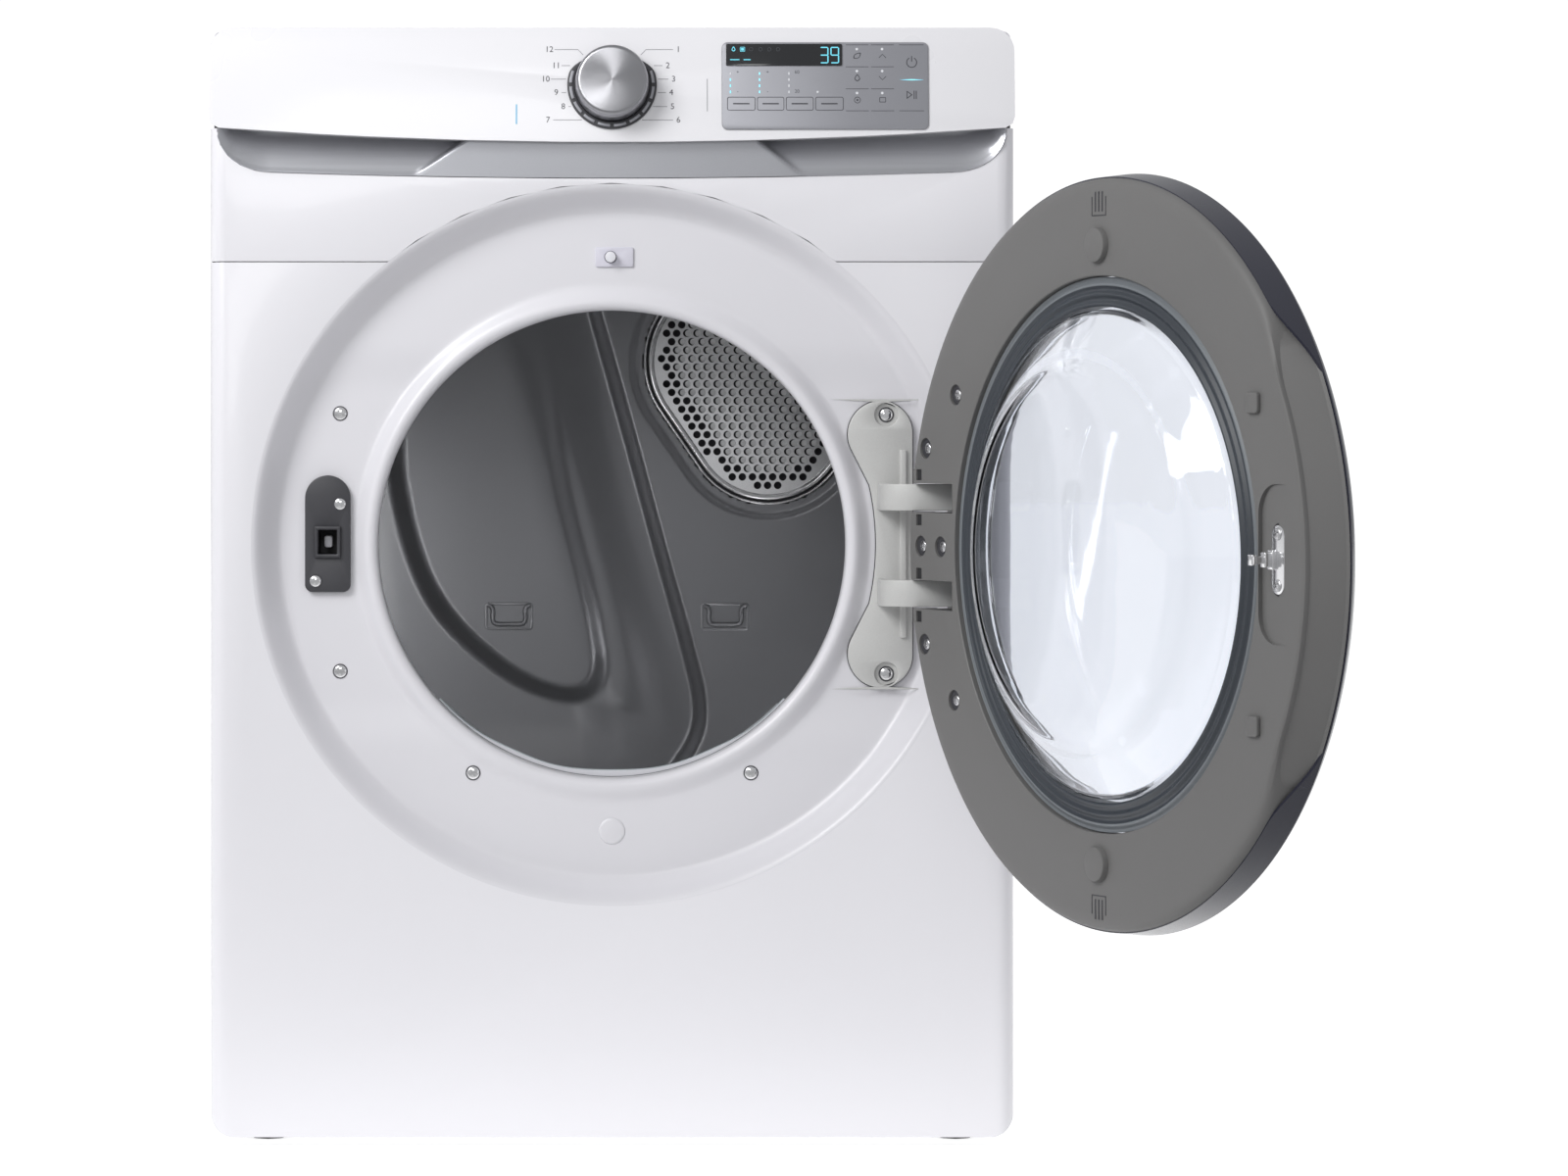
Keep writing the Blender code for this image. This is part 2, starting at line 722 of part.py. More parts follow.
def build_drum(steel, lifter_plastic):
    centre = (0, FRONT_Y, OPENING_Z)
    inner = DRUM_RADIUS - DRUM_WALL
    tube("drum", inner, DRUM_RADIUS, DRUM_REAR, DRUM_FRONT, centre, ROUND_STEPS, steel)
    for number in range(3):
        base = 90 + 120 * number
        outline = arc(0, 0, inner - 0.0032, base - 5.5, base + 5.5, 2)
        outline += arc(0, 0, 0.2720, base + 1.6, base - 1.6, 2)
        outline = [(x, OPENING_Z + z) for x, z in outline]
        prism(
            f"drum_lifter_{number + 1}",
            outline,
            at_front(-0.150),
            at_front(-0.590),
            "Y",
            lifter_plastic,
            origin=centre,
        )


def roller_places():
    reach = DRUM_RADIUS + ROLLER_RADIUS + 0.0004
    places = []
    for end, forward in (("front", FRONT_WALL - 0.0010), ("rear", REAR_WALL)):
        for side, sign in (("left", -1), ("right", 1)):
            x = sign * reach * math.sin(ROLLER_ANGLE)
            z = OPENING_Z - reach * math.cos(ROLLER_ANGLE)
            places.append((f"{end}_{side}", x, z, forward, -1 if end == "front" else 1))
    return places


def build_rollers(rubber, steel):
    for place, x, z, wall, inward in roller_places():
        centre = (x, FRONT_Y, z)
        near = wall + inward * 0.014
        far = wall + inward * 0.032
        low, high = sorted((near, far))
        tube(f"drum_roller_{place}", 0.0059, ROLLER_RADIUS, low, high, centre, 16, rubber)
        low, high = sorted((wall + inward * 0.0003, wall + inward * 0.037))
        rod(f"roller_shaft_{place}", 0.0055, low, high, centre, 12, steel)


def hull_of_circles(circles, grow):
    """The convex line round several circles, as a belt lies."""
    points = []
    for x, z, radius, steps in circles:
        points += circle(x, z, (radius + grow) / math.cos(math.pi / steps), steps)
    points = sorted(set(points))
    chains = []
    for run in (points, points[::-1]):
        chain = []
        for point in run:
            while len(chain) > 1:
                first = Vector(chain[-1]) - Vector(chain[-2])
                second = Vector(point) - Vector(chain[-1])
                if first.x * second.y - first.y * second.x > 0:
                    break
                chain.pop()
            chain.append(point)
        chains.append(chain[:-1])
    return chains[0] + chains[1]


def build_belt(rubber):
    circles = [
        (0, OPENING_Z, DRUM_RADIUS, ROUND_STEPS),
        (MOTOR_X, MOTOR_Z, PULLEY_RADIUS, 16),
        (IDLER_X, IDLER_Z, IDLER_RADIUS, 20),
    ]
    inner = hull_of_circles(circles, 0.0004)
    outer = hull_of_circles(circles, 0.0004 + BELT_THICKNESS)
    low = at_front(BELT_FORWARD) - BELT_WIDTH / 2
    high = low + BELT_WIDTH
    return prism("drum_belt", outer, low, high, "Y", rubber, holes=[inner])


def build_motor(painted, steel, aluminium):
    centre = (MOTOR_X, FRONT_Y, MOTOR_Z)
    shell = [
        (0.0065, -0.2950),
        (0.0300, -0.2950),
        (0.0580, -0.2780),
        (0.0580, -0.1820),
        (0.0300, -0.1650),
        (0.0065, -0.1650),
        (0.0065, -0.1700),
        (0.0290, -0.1700),
        (0.0400, -0.1850),
        (0.0400, -0.2750),
        (0.0290, -0.2900),
        (0.0065, -0.2900),
    ]
    motor = lathe("motor", shell, centre, 24, painted)
    saddle_low = (MOTOR_X - 0.055, at_front(-0.205), 0.0016)
    saddle_high = (MOTOR_X + 0.055, at_front(-0.255), 0.0550)
    saddle = box("saddle", saddle_low, saddle_high, painted)
    join(motor, saddle)
    low = BELT_FORWARD - BELT_WIDTH / 2 - 0.002
    high = BELT_FORWARD + BELT_WIDTH / 2 + 0.002
    shaft = [
        (0, low - 0.004),
        (0.0055, low - 0.004),
        (0.0055, low - 0.0015),
        (0.0130, low - 0.0015),
        (0.0130, low),
        (PULLEY_RADIUS, low),
        (PULLEY_RADIUS, high),
        (0.0130, high),
        (0.0130, high + 0.0015),
        (0.0055, high + 0.0015),
        (0.0055, -0.2650),
        (0.0380, -0.2650),
        (0.0380, -0.1950),
        (0.0055, -0.1950),
        (0.0055, -0.0940),
        (0, -0.0940),
    ]
    lathe("motor_shaft", shaft, centre, 16, steel)
    vanes = []
    for number in range(16):
        turn = 22.5 * number
        vanes += arc(MOTOR_X, MOTOR_Z, 0.0700, turn - 1.3, turn + 1.3, 1)
        vanes += arc(MOTOR_X, MOTOR_Z, 0.0260, turn + 5.0, turn + 17.5, 1)
    prism(
        "blower_wheel",
        vanes,
        at_front(-0.098),
        at_front(-0.140),
        "Y",
        aluminium,
        holes=[circle(MOTOR_X, MOTOR_Z, 0.0060, 12)],
        origin=centre,
    )


def build_blower_housing(galvanised):
    duct_centre = (DUCT_X, FRONT_Y, DUCT_Z)
    centre = (MOTOR_X, FRONT_Y, MOTOR_Z)
    near = -0.0835
    far = -0.1560
    wall = 0.0015
    housing = rod("blower_housing", 0.0880, far, near, centre, 28, galvanised)
    left = DUCT_X - 0.060
    low = DUCT_Z - 0.060
    high = DUCT_Z + 0.060
    snout_low = (left, at_front(near - 0.0005), low)
    snout_high = (MOTOR_X, at_front(far + 0.0005), high)
    join(housing, box("snout", snout_low, snout_high, galvanised))
    cut(
        housing,
        rod("inside", 0.0880 - wall, far + wall, near - wall, centre, 28, galvanised),
        box(
            "passage",
            (left + wall, at_front(near - 0.0005 - wall), low + wall),
            (MOTOR_X, at_front(far + 0.0005 + wall), high - wall),
            galvanised,
        ),
        rod("inlet", 0.0420, near - 0.01, near + 0.01, centre, 20, galvanised),
        rod("shaft_hole", 0.0090, far - 0.01, far + 0.01, centre, 12, galvanised),
        rod("outlet", DUCT_RADIUS - 0.001, far - 0.01, far + 0.01, duct_centre, 24, galvanised),
    )
    duct_inner = DUCT_RADIUS - 0.0006
    tube("exhaust_duct", duct_inner, DUCT_RADIUS, -0.737, far - 0.0004, duct_centre, 24, galvanised)


def build_idler(steel, plastic):
    pivot = Vector((0.030, at_front(BELT_FORWARD + 0.018), 0.030))
    belt_y = at_front(BELT_FORWARD)
    near = belt_y - 0.015
    far = belt_y - 0.012
    foot_end = [(0.0225, 0.0225), (0.0375, 0.0225), (0.0375, 0.036)]
    wheel_end = [(0.0065, 0.091), (-0.0065, 0.091), (-0.0065, 0.079)]
    outline = foot_end + wheel_end
    arm = prism("idler_arm", outline, near, far, "Y", steel, origin=pivot)
    join(arm, rod("stub", 0.0050, -0.018, 0.001, (IDLER_X, near, IDLER_Z), 12, steel))
    low = BELT_FORWARD - BELT_WIDTH / 2 - 0.001
    high = BELT_FORWARD + BELT_WIDTH / 2 + 0.001
    tube("idler_pulley", 0.0054, IDLER_RADIUS, low, high, (IDLER_X, FRONT_Y, IDLER_Z), 20, plastic)
    stand = box("stand", (0.020, far + 0.0004, 0.0006), (0.040, far + 0.0020, 0.0215), steel)
    return join(bpy.data.objects["base_pan"], stand)


def hinge_arm(name, middle, finish):
    """A goose neck that rises from the bracket, arches over and ends in the barrel round the pin."""
    pin_y = at_front(HINGE_FORWARD)
    outer = [
        (HINGE_X - 0.0600, at_front(-0.0220)),
        (HINGE_X - 0.0600, at_front(0.0050)),
        (HINGE_X - 0.0560, at_front(0.0180)),
        (HINGE_X - 0.0460, at_front(0.0270)),
        (HINGE_X - 0.0320, at_front(0.0315)),
        (HINGE_X - 0.0160, at_front(0.0320)),
    ]
    barrel = arc(HINGE_X, pin_y, 0.0060, -90, 90, 6)
    inner = [
        (HINGE_X - 0.0160, at_front(0.0240)),
        (HINGE_X - 0.0300, at_front(0.0235)),
        (HINGE_X - 0.0410, at_front(0.0195)),
        (HINGE_X - 0.0490, at_front(0.0120)),
        (HINGE_X - 0.0520, at_front(0.0020)),
        (HINGE_X - 0.0520, at_front(-0.0220)),
    ]
    low = middle - ARM_HEIGHT / 2
    bore = circle(HINGE_X, pin_y, 0.0029, 12)
    return prism(name, outer + barrel + inner, low, low + ARM_HEIGHT, "Z", finish, holes=[bore])


def bracket_outline():
    """Two round lobes joined by a waist that follows the door opening."""
    lobe = 0.0290
    left = 0.202 + lobe
    right = 0.2575
    corner = 0.0280
    top = 0.628
    bottom = 0.382
    points = arc(left, top - lobe, lobe, 205, 90, 6)
    points += arc(right - corner, top - corner, corner, 90, 0, 4)[1:]
    points += arc(right - corner, bottom + corner, corner, 0, -90, 4)
    points += arc(left, bottom + lobe, lobe, 270, 155, 6)[1:]
    points += arc(0, OPENING_Z, 0.2262, -13, 13, 6)
    return points


def build_hinge(paint, steel):
    bracket = prism("hinge_bracket", bracket_outline(), at_front(-0.0205), at_front(-0.0256), "Y", paint)
    spine = box("spine", (0.2465, at_front(-0.0170), 0.425), (0.2520, at_front(-0.0250), 0.586), paint)
    join(bracket, spine)
    for number, middle in enumerate(ARM_HEIGHTS):
        join(bracket, hinge_arm(f"arm_{number}", middle, paint))
    for z in (0.394, 0.616):
        cut(bracket, rod("recess", 0.0100, -0.0235, -0.010, (0.235, FRONT_Y, z), 16, paint))
    low = ARM_HEIGHTS[0] - ARM_HEIGHT / 2 - 0.009
    high = ARM_HEIGHTS[1] + ARM_HEIGHT / 2 + 0.009
    return rod("hinge_pin", 0.0025, low, high, (HINGE_X, at_front(HINGE_FORWARD), 0), 12, steel, 0.0)


def door_local(u, w):
    """A place on the closed door: u to the left of the hinge axis and w in front of it."""
    return (HINGE_X - u, at_front(HINGE_FORWARD) - w)


def door_box(name, low, high, finish):
    """A box on the closed door from (u, w, z) to (u, w, z)."""
    first = door_local(low[0], low[1])
    second = door_local(high[0], high[1])
    corners = [sorted(pair) for pair in zip(first, second)]
    near = (corners[0][0], corners[1][0], low[2])
    far = (corners[0][1], corners[1][1], high[2])
    return box(name, near, far, finish)


def hinge_notches(name, deepest, finish):
    """The pockets in the door's edge that the goose necks swing through."""
    half = ARM_HEIGHT / 2 + 0.0010
    made = []
    for middle in ARM_HEIGHTS:
        low = (-0.030, -0.045, middle - half)
        high = (0.0620, deepest, middle + half)
        made.append(door_box(name, low, high, finish))
    return made


def shell_notches(name, finish):
    """The same pockets in the outer shell, and one bay in its edge round the barrels and their bosses."""
    half = ARM_HEIGHT / 2 + 0.0010
    made = []
    for middle in ARM_HEIGHTS:
        low = (0.0070, -0.045, middle - half)
        high = (0.0620, 0.0072, middle + half)
        made.append(door_box(name, low, high, finish))
    low = (-0.030, -0.045, ARM_HEIGHTS[0] - half - 0.0125)
    high = (0.0125, 0.0120, ARM_HEIGHTS[1] + half + 0.0125)
    made.append(door_box(name, low, high, finish))
    return made


def build_door_frame(grey):
    centre = (0, at_front(HINGE_FORWARD), OPENING_Z)
    profile = [
        (0.2220, DOOR_FACE),
        (0.2900, DOOR_FACE),
        (0.3000, -0.0315),
        (0.3034, -0.0075),
        (0.3010, -0.0075),
        (0.2978, -0.0298),
        (0.2890, -0.0335),
        (0.2245, -0.0335),
        (0.2245, -0.0200),
        (0.2220, -0.0200),
    ]
    frame = lathe("door_inner_frame", profile, centre, DOOR_STEPS, grey)
    half = ARM_HEIGHT / 2 + 0.0010
    lower, upper = ARM_HEIGHTS
    spans = [(lower - half - 0.012, lower - half)]
    spans.append((lower + half, upper - half))
    spans.append((upper + half, upper + half + 0.012))
    for low, high in spans:
        boss_low = (-0.0040, -0.0345, low + 0.0001)
        boss_high = (0.0120, 0.0045, high - 0.0001)
        join(frame, door_box("boss", boss_low, boss_high, grey))
    pocket = stadium(0.5330, LATCH_Z, 0.030, 0.118)
    shallow = stadium(0.5330, LATCH_Z, 0.025, 0.113)
    back = at_front(HINGE_FORWARD)
    join(frame, prism("pad", pocket, back + 0.0350, back + 0.0260, "Y", grey))
    cut(frame, prism("pocket", shallow, back + 0.0450, back + 0.0310, "Y", grey))
    cut(frame, *hinge_notches("notch", 0.0090, grey))
    pin_hole = rod("pin_hole", 0.0029, 0.40, 0.62, (HINGE_X, back, 0), 12, grey, 0.0)
    cut(frame, pin_hole)
    for z in (OPENING_Z - 0.2465, OPENING_Z + 0.2465):
        join(frame, rod("bumper", 0.0140, -0.0400, -0.0350, (0, back, z), 20, grey))
    return frame


def stadium(u, z, width, height):
    """A slot with round ends on the door, as (x, z) points."""
    x = HINGE_X - u
    radius = width / 2
    straight = height / 2 - radius
    return arc(x, z + straight, radius, 0, 180, 8) + arc(x, z - straight, radius, 180, 360, 8)


def build_door_shell(navy, glass, clear, rubber):
    centre = (0, at_front(HINGE_FORWARD), OPENING_Z)
    rim = [
        (DOOR_RADIUS, -0.0070),
        (0.3020, -0.0045),
        (0.2970, 0.0010),
        (0.2850, 0.0075),
        (0.2560, 0.0112),
        (0.2560, 0.0087),
        (0.2830, 0.0052),
        (0.2940, 0.0005),
        (0.2990, -0.0070),
    ]
    outer = lathe("door_outer_rim", rim, centre, DOOR_STEPS, navy)
    cut(outer, *shell_notches("notch", navy))
    bowl = [
        (0, -0.0700),
        (0.1200, -0.0690),
        (0.1455, -0.0655),
        (0.1650, -0.0550),
        (0.1850, -0.0430),
        (0.1950, -0.0355),
        (0.1965, -0.0190),
        (0.2190, -0.0185),
        (0.2190, -0.0155),
        (0.1935, -0.0155),
        (0.1920, -0.0340),
        (0.1830, -0.0405),
        (0.1635, -0.0522),
        (0.1443, -0.0625),
        (0.1195, -0.0660),
        (0, -0.0670),
    ]
    lathe("door_glass_bowl", bowl, centre, DOOR_STEPS, glass)
    gasket = [
        (0.1972, -0.0345),
        (0.2215, -0.0345),
        (0.2215, -0.0190),
        (0.1972, -0.0194),
    ]
    lathe("door_glass_gasket", gasket, centre, DOOR_STEPS, rubber)
    window = [
        (0, 0.0165),
        (0.1300, 0.0152),
        (0.2554, 0.0111),
        (0.2554, 0.0087),
        (0.1300, 0.0126),
        (0, 0.0139),
    ]
    lathe("door_outer_window", window, centre, DOOR_STEPS, clear)


def build_striker(chrome):
    low = LATCH_Z - 0.0275
    high = LATCH_Z + 0.0275
    striker = door_box("door_striker", (0.5225, -0.0335, low), (0.5385, -0.0315, high), chrome)
    neck_low = (0.5275, -0.0560, LATCH_Z - 0.0035)
    neck_high = (0.5320, -0.0325, LATCH_Z + 0.0035)
    neck = door_box("neck", neck_low, neck_high, chrome)
    head_low = (0.5265, -0.0580, LATCH_Z - 0.0060)
    head_high = (0.5335, -0.0520, LATCH_Z + 0.0060)
    head = door_box("head", head_low, head_high, chrome)
    return join(striker, neck, head)


def open_door(names):
    """Hangs the door's pieces, modelled closed, on an empty on the hinge axis and swings it open."""
    pivot = bpy.data.objects.new("door_pivot", None)
    bpy.context.scene.collection.objects.link(pivot)
    place = Vector((HINGE_X, at_front(HINGE_FORWARD), OPENING_Z))
    for name in names:
        piece = bpy.data.objects[name]
        to_world = Matrix.Translation(piece.location) @ piece.rotation_euler.to_matrix().to_4x4()
        piece.data.transform(Matrix.Translation(-place) @ to_world)
        piece.location = (0, 0, 0)
        piece.rotation_euler = (0, 0, 0)
        piece.parent = pivot
    pivot.location = place
    pivot.rotation_euler.z = math.radians(DOOR_OPEN_DEG)


def main():
    clear_scene()
    white = make_material("white_enamel", (0.86, 0.86, 0.88), 0.25)
    silver = make_material("satin_silver", (0.50, 0.51, 0.53), 0.35, 0.9)
    dark = make_material("dark_plastic", (0.05, 0.05, 0.055), 0.5)
    black = make_material("display_black", (0.01, 0.012, 0.015), 0.1)
    green = make_material("circuit_board", (0.05, 0.22, 0.10), 0.5)
    galvanised = make_material("galvanised_steel", (0.55, 0.56, 0.57), 0.4, 0.9)
    steel = make_material("bright_steel", (0.62, 0.62, 0.63), 0.25, 1.0)
    grey = make_material("door_grey", (0.17, 0.17, 0.17), 0.5)
    drum_grey = make_material("drum_grey", (0.12, 0.125, 0.135), 0.4)
    lilac = make_material("switch_plate", (0.62, 0.62, 0.68), 0.45)
    pale = make_material("pale_plastic", (0.70, 0.70, 0.70), 0.45)
    rubber = make_material("black_rubber", (0.03, 0.03, 0.03), 0.7)
    felt = make_material("seal_felt", (0.45, 0.43, 0.40), 0.95)
    hinge_paint = make_material("hinge_paint", (0.50, 0.50, 0.48), 0.45)
    navy = make_material("door_navy", (0.03, 0.032, 0.045), 0.25)
    glass = make_material("bowl_glass", (0.85, 0.88, 0.92), 0.05, 0.0, 0.35)
    aluminium = make_material("aluminium", (0.60, 0.61, 0.62), 0.4, 1.0)

    build_cabinet(white, galvanised)
    build_terminal_cover(dark)
    build_feet(rubber)
    build_front_panel(white)
    build_upper_front(white)
    build_handle_trim(silver)
    build_control_panel(white)
    build_controls(silver, black, green, dark, steel)
    build_door_switch(lilac, pale)
    build_latch(dark, pale)
    build_front_bulkhead(galvanised, felt)
    build_lint_path(galvanised, pale)
    build_rear_bulkhead(drum_grey, felt, steel)
    build_heater(galvanised, steel)
    build_drum(steel, pale)
    build_rollers(rubber, steel)
    build_belt(rubber)
    build_motor(galvanised, steel, aluminium)
    build_blower_housing(galvanised)
    build_idler(galvanised, dark)
    build_hinge(hinge_paint, steel)
    build_door_frame(grey)
    build_door_shell(navy, glass, glass, rubber)
    build_striker(steel)
    open_door(
        [
            "door_inner_frame",
            "door_outer_rim",
            "door_glass_bowl",
            "door_glass_gasket",
            "door_outer_window",
            "door_striker",
            "hinge_pin",
        ]
    )


main()
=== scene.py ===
"""The looks of a clothes dryer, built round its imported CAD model.

Everything is in metres in the model's frame: +Z up, -Y out of the front, +X to the right.
A "forward" depth is measured from the front sheet's plane towards the user, so it is negative inside.
"""

import json
import math

import bmesh
import bpy
import numpy as np
from mathutils import Matrix, Vector

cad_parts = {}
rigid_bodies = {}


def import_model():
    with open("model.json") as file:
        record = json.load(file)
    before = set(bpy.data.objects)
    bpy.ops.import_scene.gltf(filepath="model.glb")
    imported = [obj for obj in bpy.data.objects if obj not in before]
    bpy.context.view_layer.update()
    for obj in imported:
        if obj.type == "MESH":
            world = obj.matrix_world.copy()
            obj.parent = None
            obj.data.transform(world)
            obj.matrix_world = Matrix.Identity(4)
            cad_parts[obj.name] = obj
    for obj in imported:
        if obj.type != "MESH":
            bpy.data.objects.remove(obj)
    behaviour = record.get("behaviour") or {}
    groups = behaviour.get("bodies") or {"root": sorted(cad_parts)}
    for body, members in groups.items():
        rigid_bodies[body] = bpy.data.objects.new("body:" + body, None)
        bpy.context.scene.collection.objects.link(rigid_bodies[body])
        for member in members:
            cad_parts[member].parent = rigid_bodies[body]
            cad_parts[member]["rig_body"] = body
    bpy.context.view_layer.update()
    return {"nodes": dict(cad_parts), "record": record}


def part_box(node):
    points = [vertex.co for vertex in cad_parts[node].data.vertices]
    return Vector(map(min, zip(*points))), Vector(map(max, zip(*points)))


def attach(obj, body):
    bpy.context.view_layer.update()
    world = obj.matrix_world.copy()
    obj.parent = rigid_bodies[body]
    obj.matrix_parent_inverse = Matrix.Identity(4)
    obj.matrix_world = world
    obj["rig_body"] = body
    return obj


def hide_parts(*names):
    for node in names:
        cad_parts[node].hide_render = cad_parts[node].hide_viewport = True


for default_object in list(bpy.data.objects):
    bpy.data.objects.remove(default_object)

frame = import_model()
NODES = frame["nodes"]

# Driving dimensions, the same as the CAD model's
HALF_WIDTH = 0.343
HEIGHT = 0.946
FRONT_Y = -0.360
SEAM_Z = 0.746
EDGE_RADIUS = 0.014
RETURN_DEPTH = 0.030
BOTTOM_CORNER = 0.022
OPENING_Z = 0.505
OPENING_RADIUS = 0.2004
DISH_RADIUS = 0.3078
DISH_FLOOR = -0.0264
DISH_STEP = 0.0030
DISH_WALL_FOOT = 0.2825
LIP_OUTER = 0.2225
LIP_INNER = 0.2075
LIP_FORWARD = -0.0170
FLANGE_BACK = -0.040
PANEL_BOTTOM_Z = 0.848
PANEL_LEAN = 0.012
KNOB_Z = 0.8965
TRIM_BOTTOM_Z = 0.818
TRIM_HALF = 0.336
REAR_WALL_Y = 0.2893
HINGE = Vector((0.287, -0.386, 0.0))
DOOR_OPEN = math.radians(117.5)
ARM_HEIGHTS = (0.4645, 0.546)
ARM_HALF = 0.0123
BRACKET_SCREWS_X = 0.235
BRACKET_SCREWS_Z = (0.394, 0.616)
LATCH_X = -0.2435
LATCH_Z = 0.507
SWITCH_Z = 0.751

LEAN = math.atan(PANEL_LEAN / (HEIGHT - PANEL_BOTTOM_Z))
FACING = Matrix.Rotation(math.radians(90), 4, "X")
DOOR_TURN = Matrix.Translation(HINGE) @ Matrix.Rotation(DOOR_OPEN, 4, "Z") @ Matrix.Translation(-HINGE)


# ---------------------------------------------------------------- materials


def new_material(name):
    material = bpy.data.materials.new(name)
    material.use_nodes = True
    tree = material.node_tree
    return material, tree.nodes, tree.links, tree.nodes["Principled BSDF"]


def grain_texture(nodes, links, scale, stretch, detail):
    """A noise in the object's own coordinates, stretched for brushed metal or left even for a moulding."""
    coordinates = nodes.new("ShaderNodeTexCoord")
    mapping = nodes.new("ShaderNodeMapping")
    mapping.inputs["Scale"].default_value = stretch
    links.new(coordinates.outputs["Object"], mapping.inputs["Vector"])
    noise = nodes.new("ShaderNodeTexNoise")
    noise.inputs["Scale"].default_value = scale
    noise.inputs["Detail"].default_value = detail
    links.new(mapping.outputs["Vector"], noise.inputs["Vector"])
    return noise


def spread(nodes, links, source, low, high):
    """Maps a texture's middle range onto low to high."""
    fit = nodes.new("ShaderNodeMapRange")
    fit.inputs["From Min"].default_value = 0.3
    fit.inputs["From Max"].default_value = 0.7
    fit.inputs["To Min"].default_value = low
    fit.inputs["To Max"].default_value = high
    links.new(source, fit.inputs["Value"])
    return fit.outputs["Result"]


def surface(
    name,
    colour,
    roughness,
    metallic=0.0,
    coat=0.0,
    grain=600.0,
    depth=0.00003,
    stretch=(1, 1, 1),
    shade=0.03,
    rough_spread=0.05,
    specular=0.5,
):
    """A finish with fine relief, slight unevenness of colour and a roughness that varies over the surface."""
    material, nodes, links, shader = new_material(name)
    shader.inputs["Metallic"].default_value = metallic
    shader.inputs["Coat Weight"].default_value = coat
    shader.inputs["Coat Roughness"].default_value = 0.08
    shader.inputs["Specular IOR Level"].default_value = specular
    fine = grain_texture(nodes, links, grain, stretch, 3.0)
    broad = grain_texture(nodes, links, 9.0, stretch if metallic else (1, 1, 1), 2.0)
    mix = nodes.new("ShaderNodeMix")
    mix.data_type = "RGBA"
    mix.inputs["A"].default_value = (*[c * (1 - shade) for c in colour], 1)
    mix.inputs["B"].default_value = (*[min(1, c * (1 + shade)) for c in colour], 1)
    tone = nodes.new("ShaderNodeMath")
    tone.operation = "MULTIPLY_ADD"
    tone.inputs[1].default_value = 0.5
    links.new(spread(nodes, links, fine.outputs["Fac"], 0, 1), tone.inputs[0])
    links.new(spread(nodes, links, broad.outputs["Fac"], 0, 0.5), tone.inputs[2])
    links.new(tone.outputs["Value"], mix.inputs["Factor"])
    links.new(mix.outputs["Result"], shader.inputs["Base Color"])
    rough = spread(nodes, links, broad.outputs["Fac"], roughness - rough_spread, roughness + rough_spread)
    links.new(rough, shader.inputs["Roughness"])
    bump = nodes.new("ShaderNodeBump")
    bump.inputs["Strength"].default_value = 0.6
    bump.inputs["Distance"].default_value = depth
    links.new(fine.outputs["Fac"], bump.inputs["Height"])
    links.new(bump.outputs["Normal"], shader.inputs["Normal"])
    return material


def spun_metal(name, colour, roughness):
    """Metal turned on a lathe: fine rings about the piece's Z axis, which stretch highlights into a fan."""
    material, nodes, links, shader = new_material(name)
    shader.inputs["Base Color"].default_value = (*colour, 1)
    shader.inputs["Metallic"].default_value = 1.0
    shader.inputs["Anisotropic"].default_value = 0.85
    tangent = nodes.new("ShaderNodeTangent")
    tangent.direction_type = "RADIAL"
    tangent.axis = "Z"
    links.new(tangent.outputs["Tangent"], shader.inputs["Tangent"])
    coordinates = nodes.new("ShaderNodeTexCoord")
    rings = nodes.new("ShaderNodeTexWave")
    rings.wave_type = "RINGS"
    rings.rings_direction = "Z"
    rings.inputs["Scale"].default_value = 900.0
    rings.inputs["Distortion"].default_value = 0.6
    links.new(coordinates.outputs["Object"], rings.inputs["Vector"])
    links.new(
        spread(nodes, links, rings.outputs["Fac"], roughness - 0.03, roughness + 0.03),
        shader.inputs["Roughness"],
    )
    bump = nodes.new("ShaderNodeBump")
    bump.inputs["Strength"].default_value = 0.25
    bump.inputs["Distance"].default_value = 0.00002
    links.new(rings.outputs["Fac"], bump.inputs["Height"])
    links.new(bump.outputs["Normal"], shader.inputs["Normal"])
    return material


def clear_glass(name, colour, roughness, waviness):
    """Pressed glass: clear, faintly tinted, its surface slightly wavy from the mould."""
    material, nodes, links, shader = new_material(name)
    shader.inputs["Base Color"].default_value = (*colour, 1)
    shader.inputs["Transmission Weight"].default_value = 1.0
    shader.inputs["IOR"].default_value = 1.46
    noise = grain_texture(nodes, links, 14.0, (1, 1, 1), 2.0)
    links.new(
        spread(nodes, links, noise.outputs["Fac"], roughness * 0.7, roughness * 1.3),
        shader.inputs["Roughness"],
    )
    bump = nodes.new("ShaderNodeBump")
    bump.inputs["Strength"].default_value = 0.4
    bump.inputs["Distance"].default_value = waviness
    links.new(noise.outputs["Fac"], bump.inputs["Height"])
    links.new(bump.outputs["Normal"], shader.inputs["Normal"])
    return material


def glowing(name, colour, strength):
    """A lit segment or light bar: emission over a dark lens with a faint unevenness."""
    material, nodes, links, shader = new_material(name)
    shader.inputs["Base Color"].default_value = (*[c * 0.3 for c in colour], 1)
    shader.inputs["Emission Color"].default_value = (*colour, 1)
    shader.inputs["Emission Strength"].default_value = strength
    noise = grain_texture(nodes, links, 900.0, (1, 1, 1), 1.0)
    links.new(spread(nodes, links, noise.outputs["Fac"], 0.35, 0.5), shader.inputs["Roughness"])
    return material


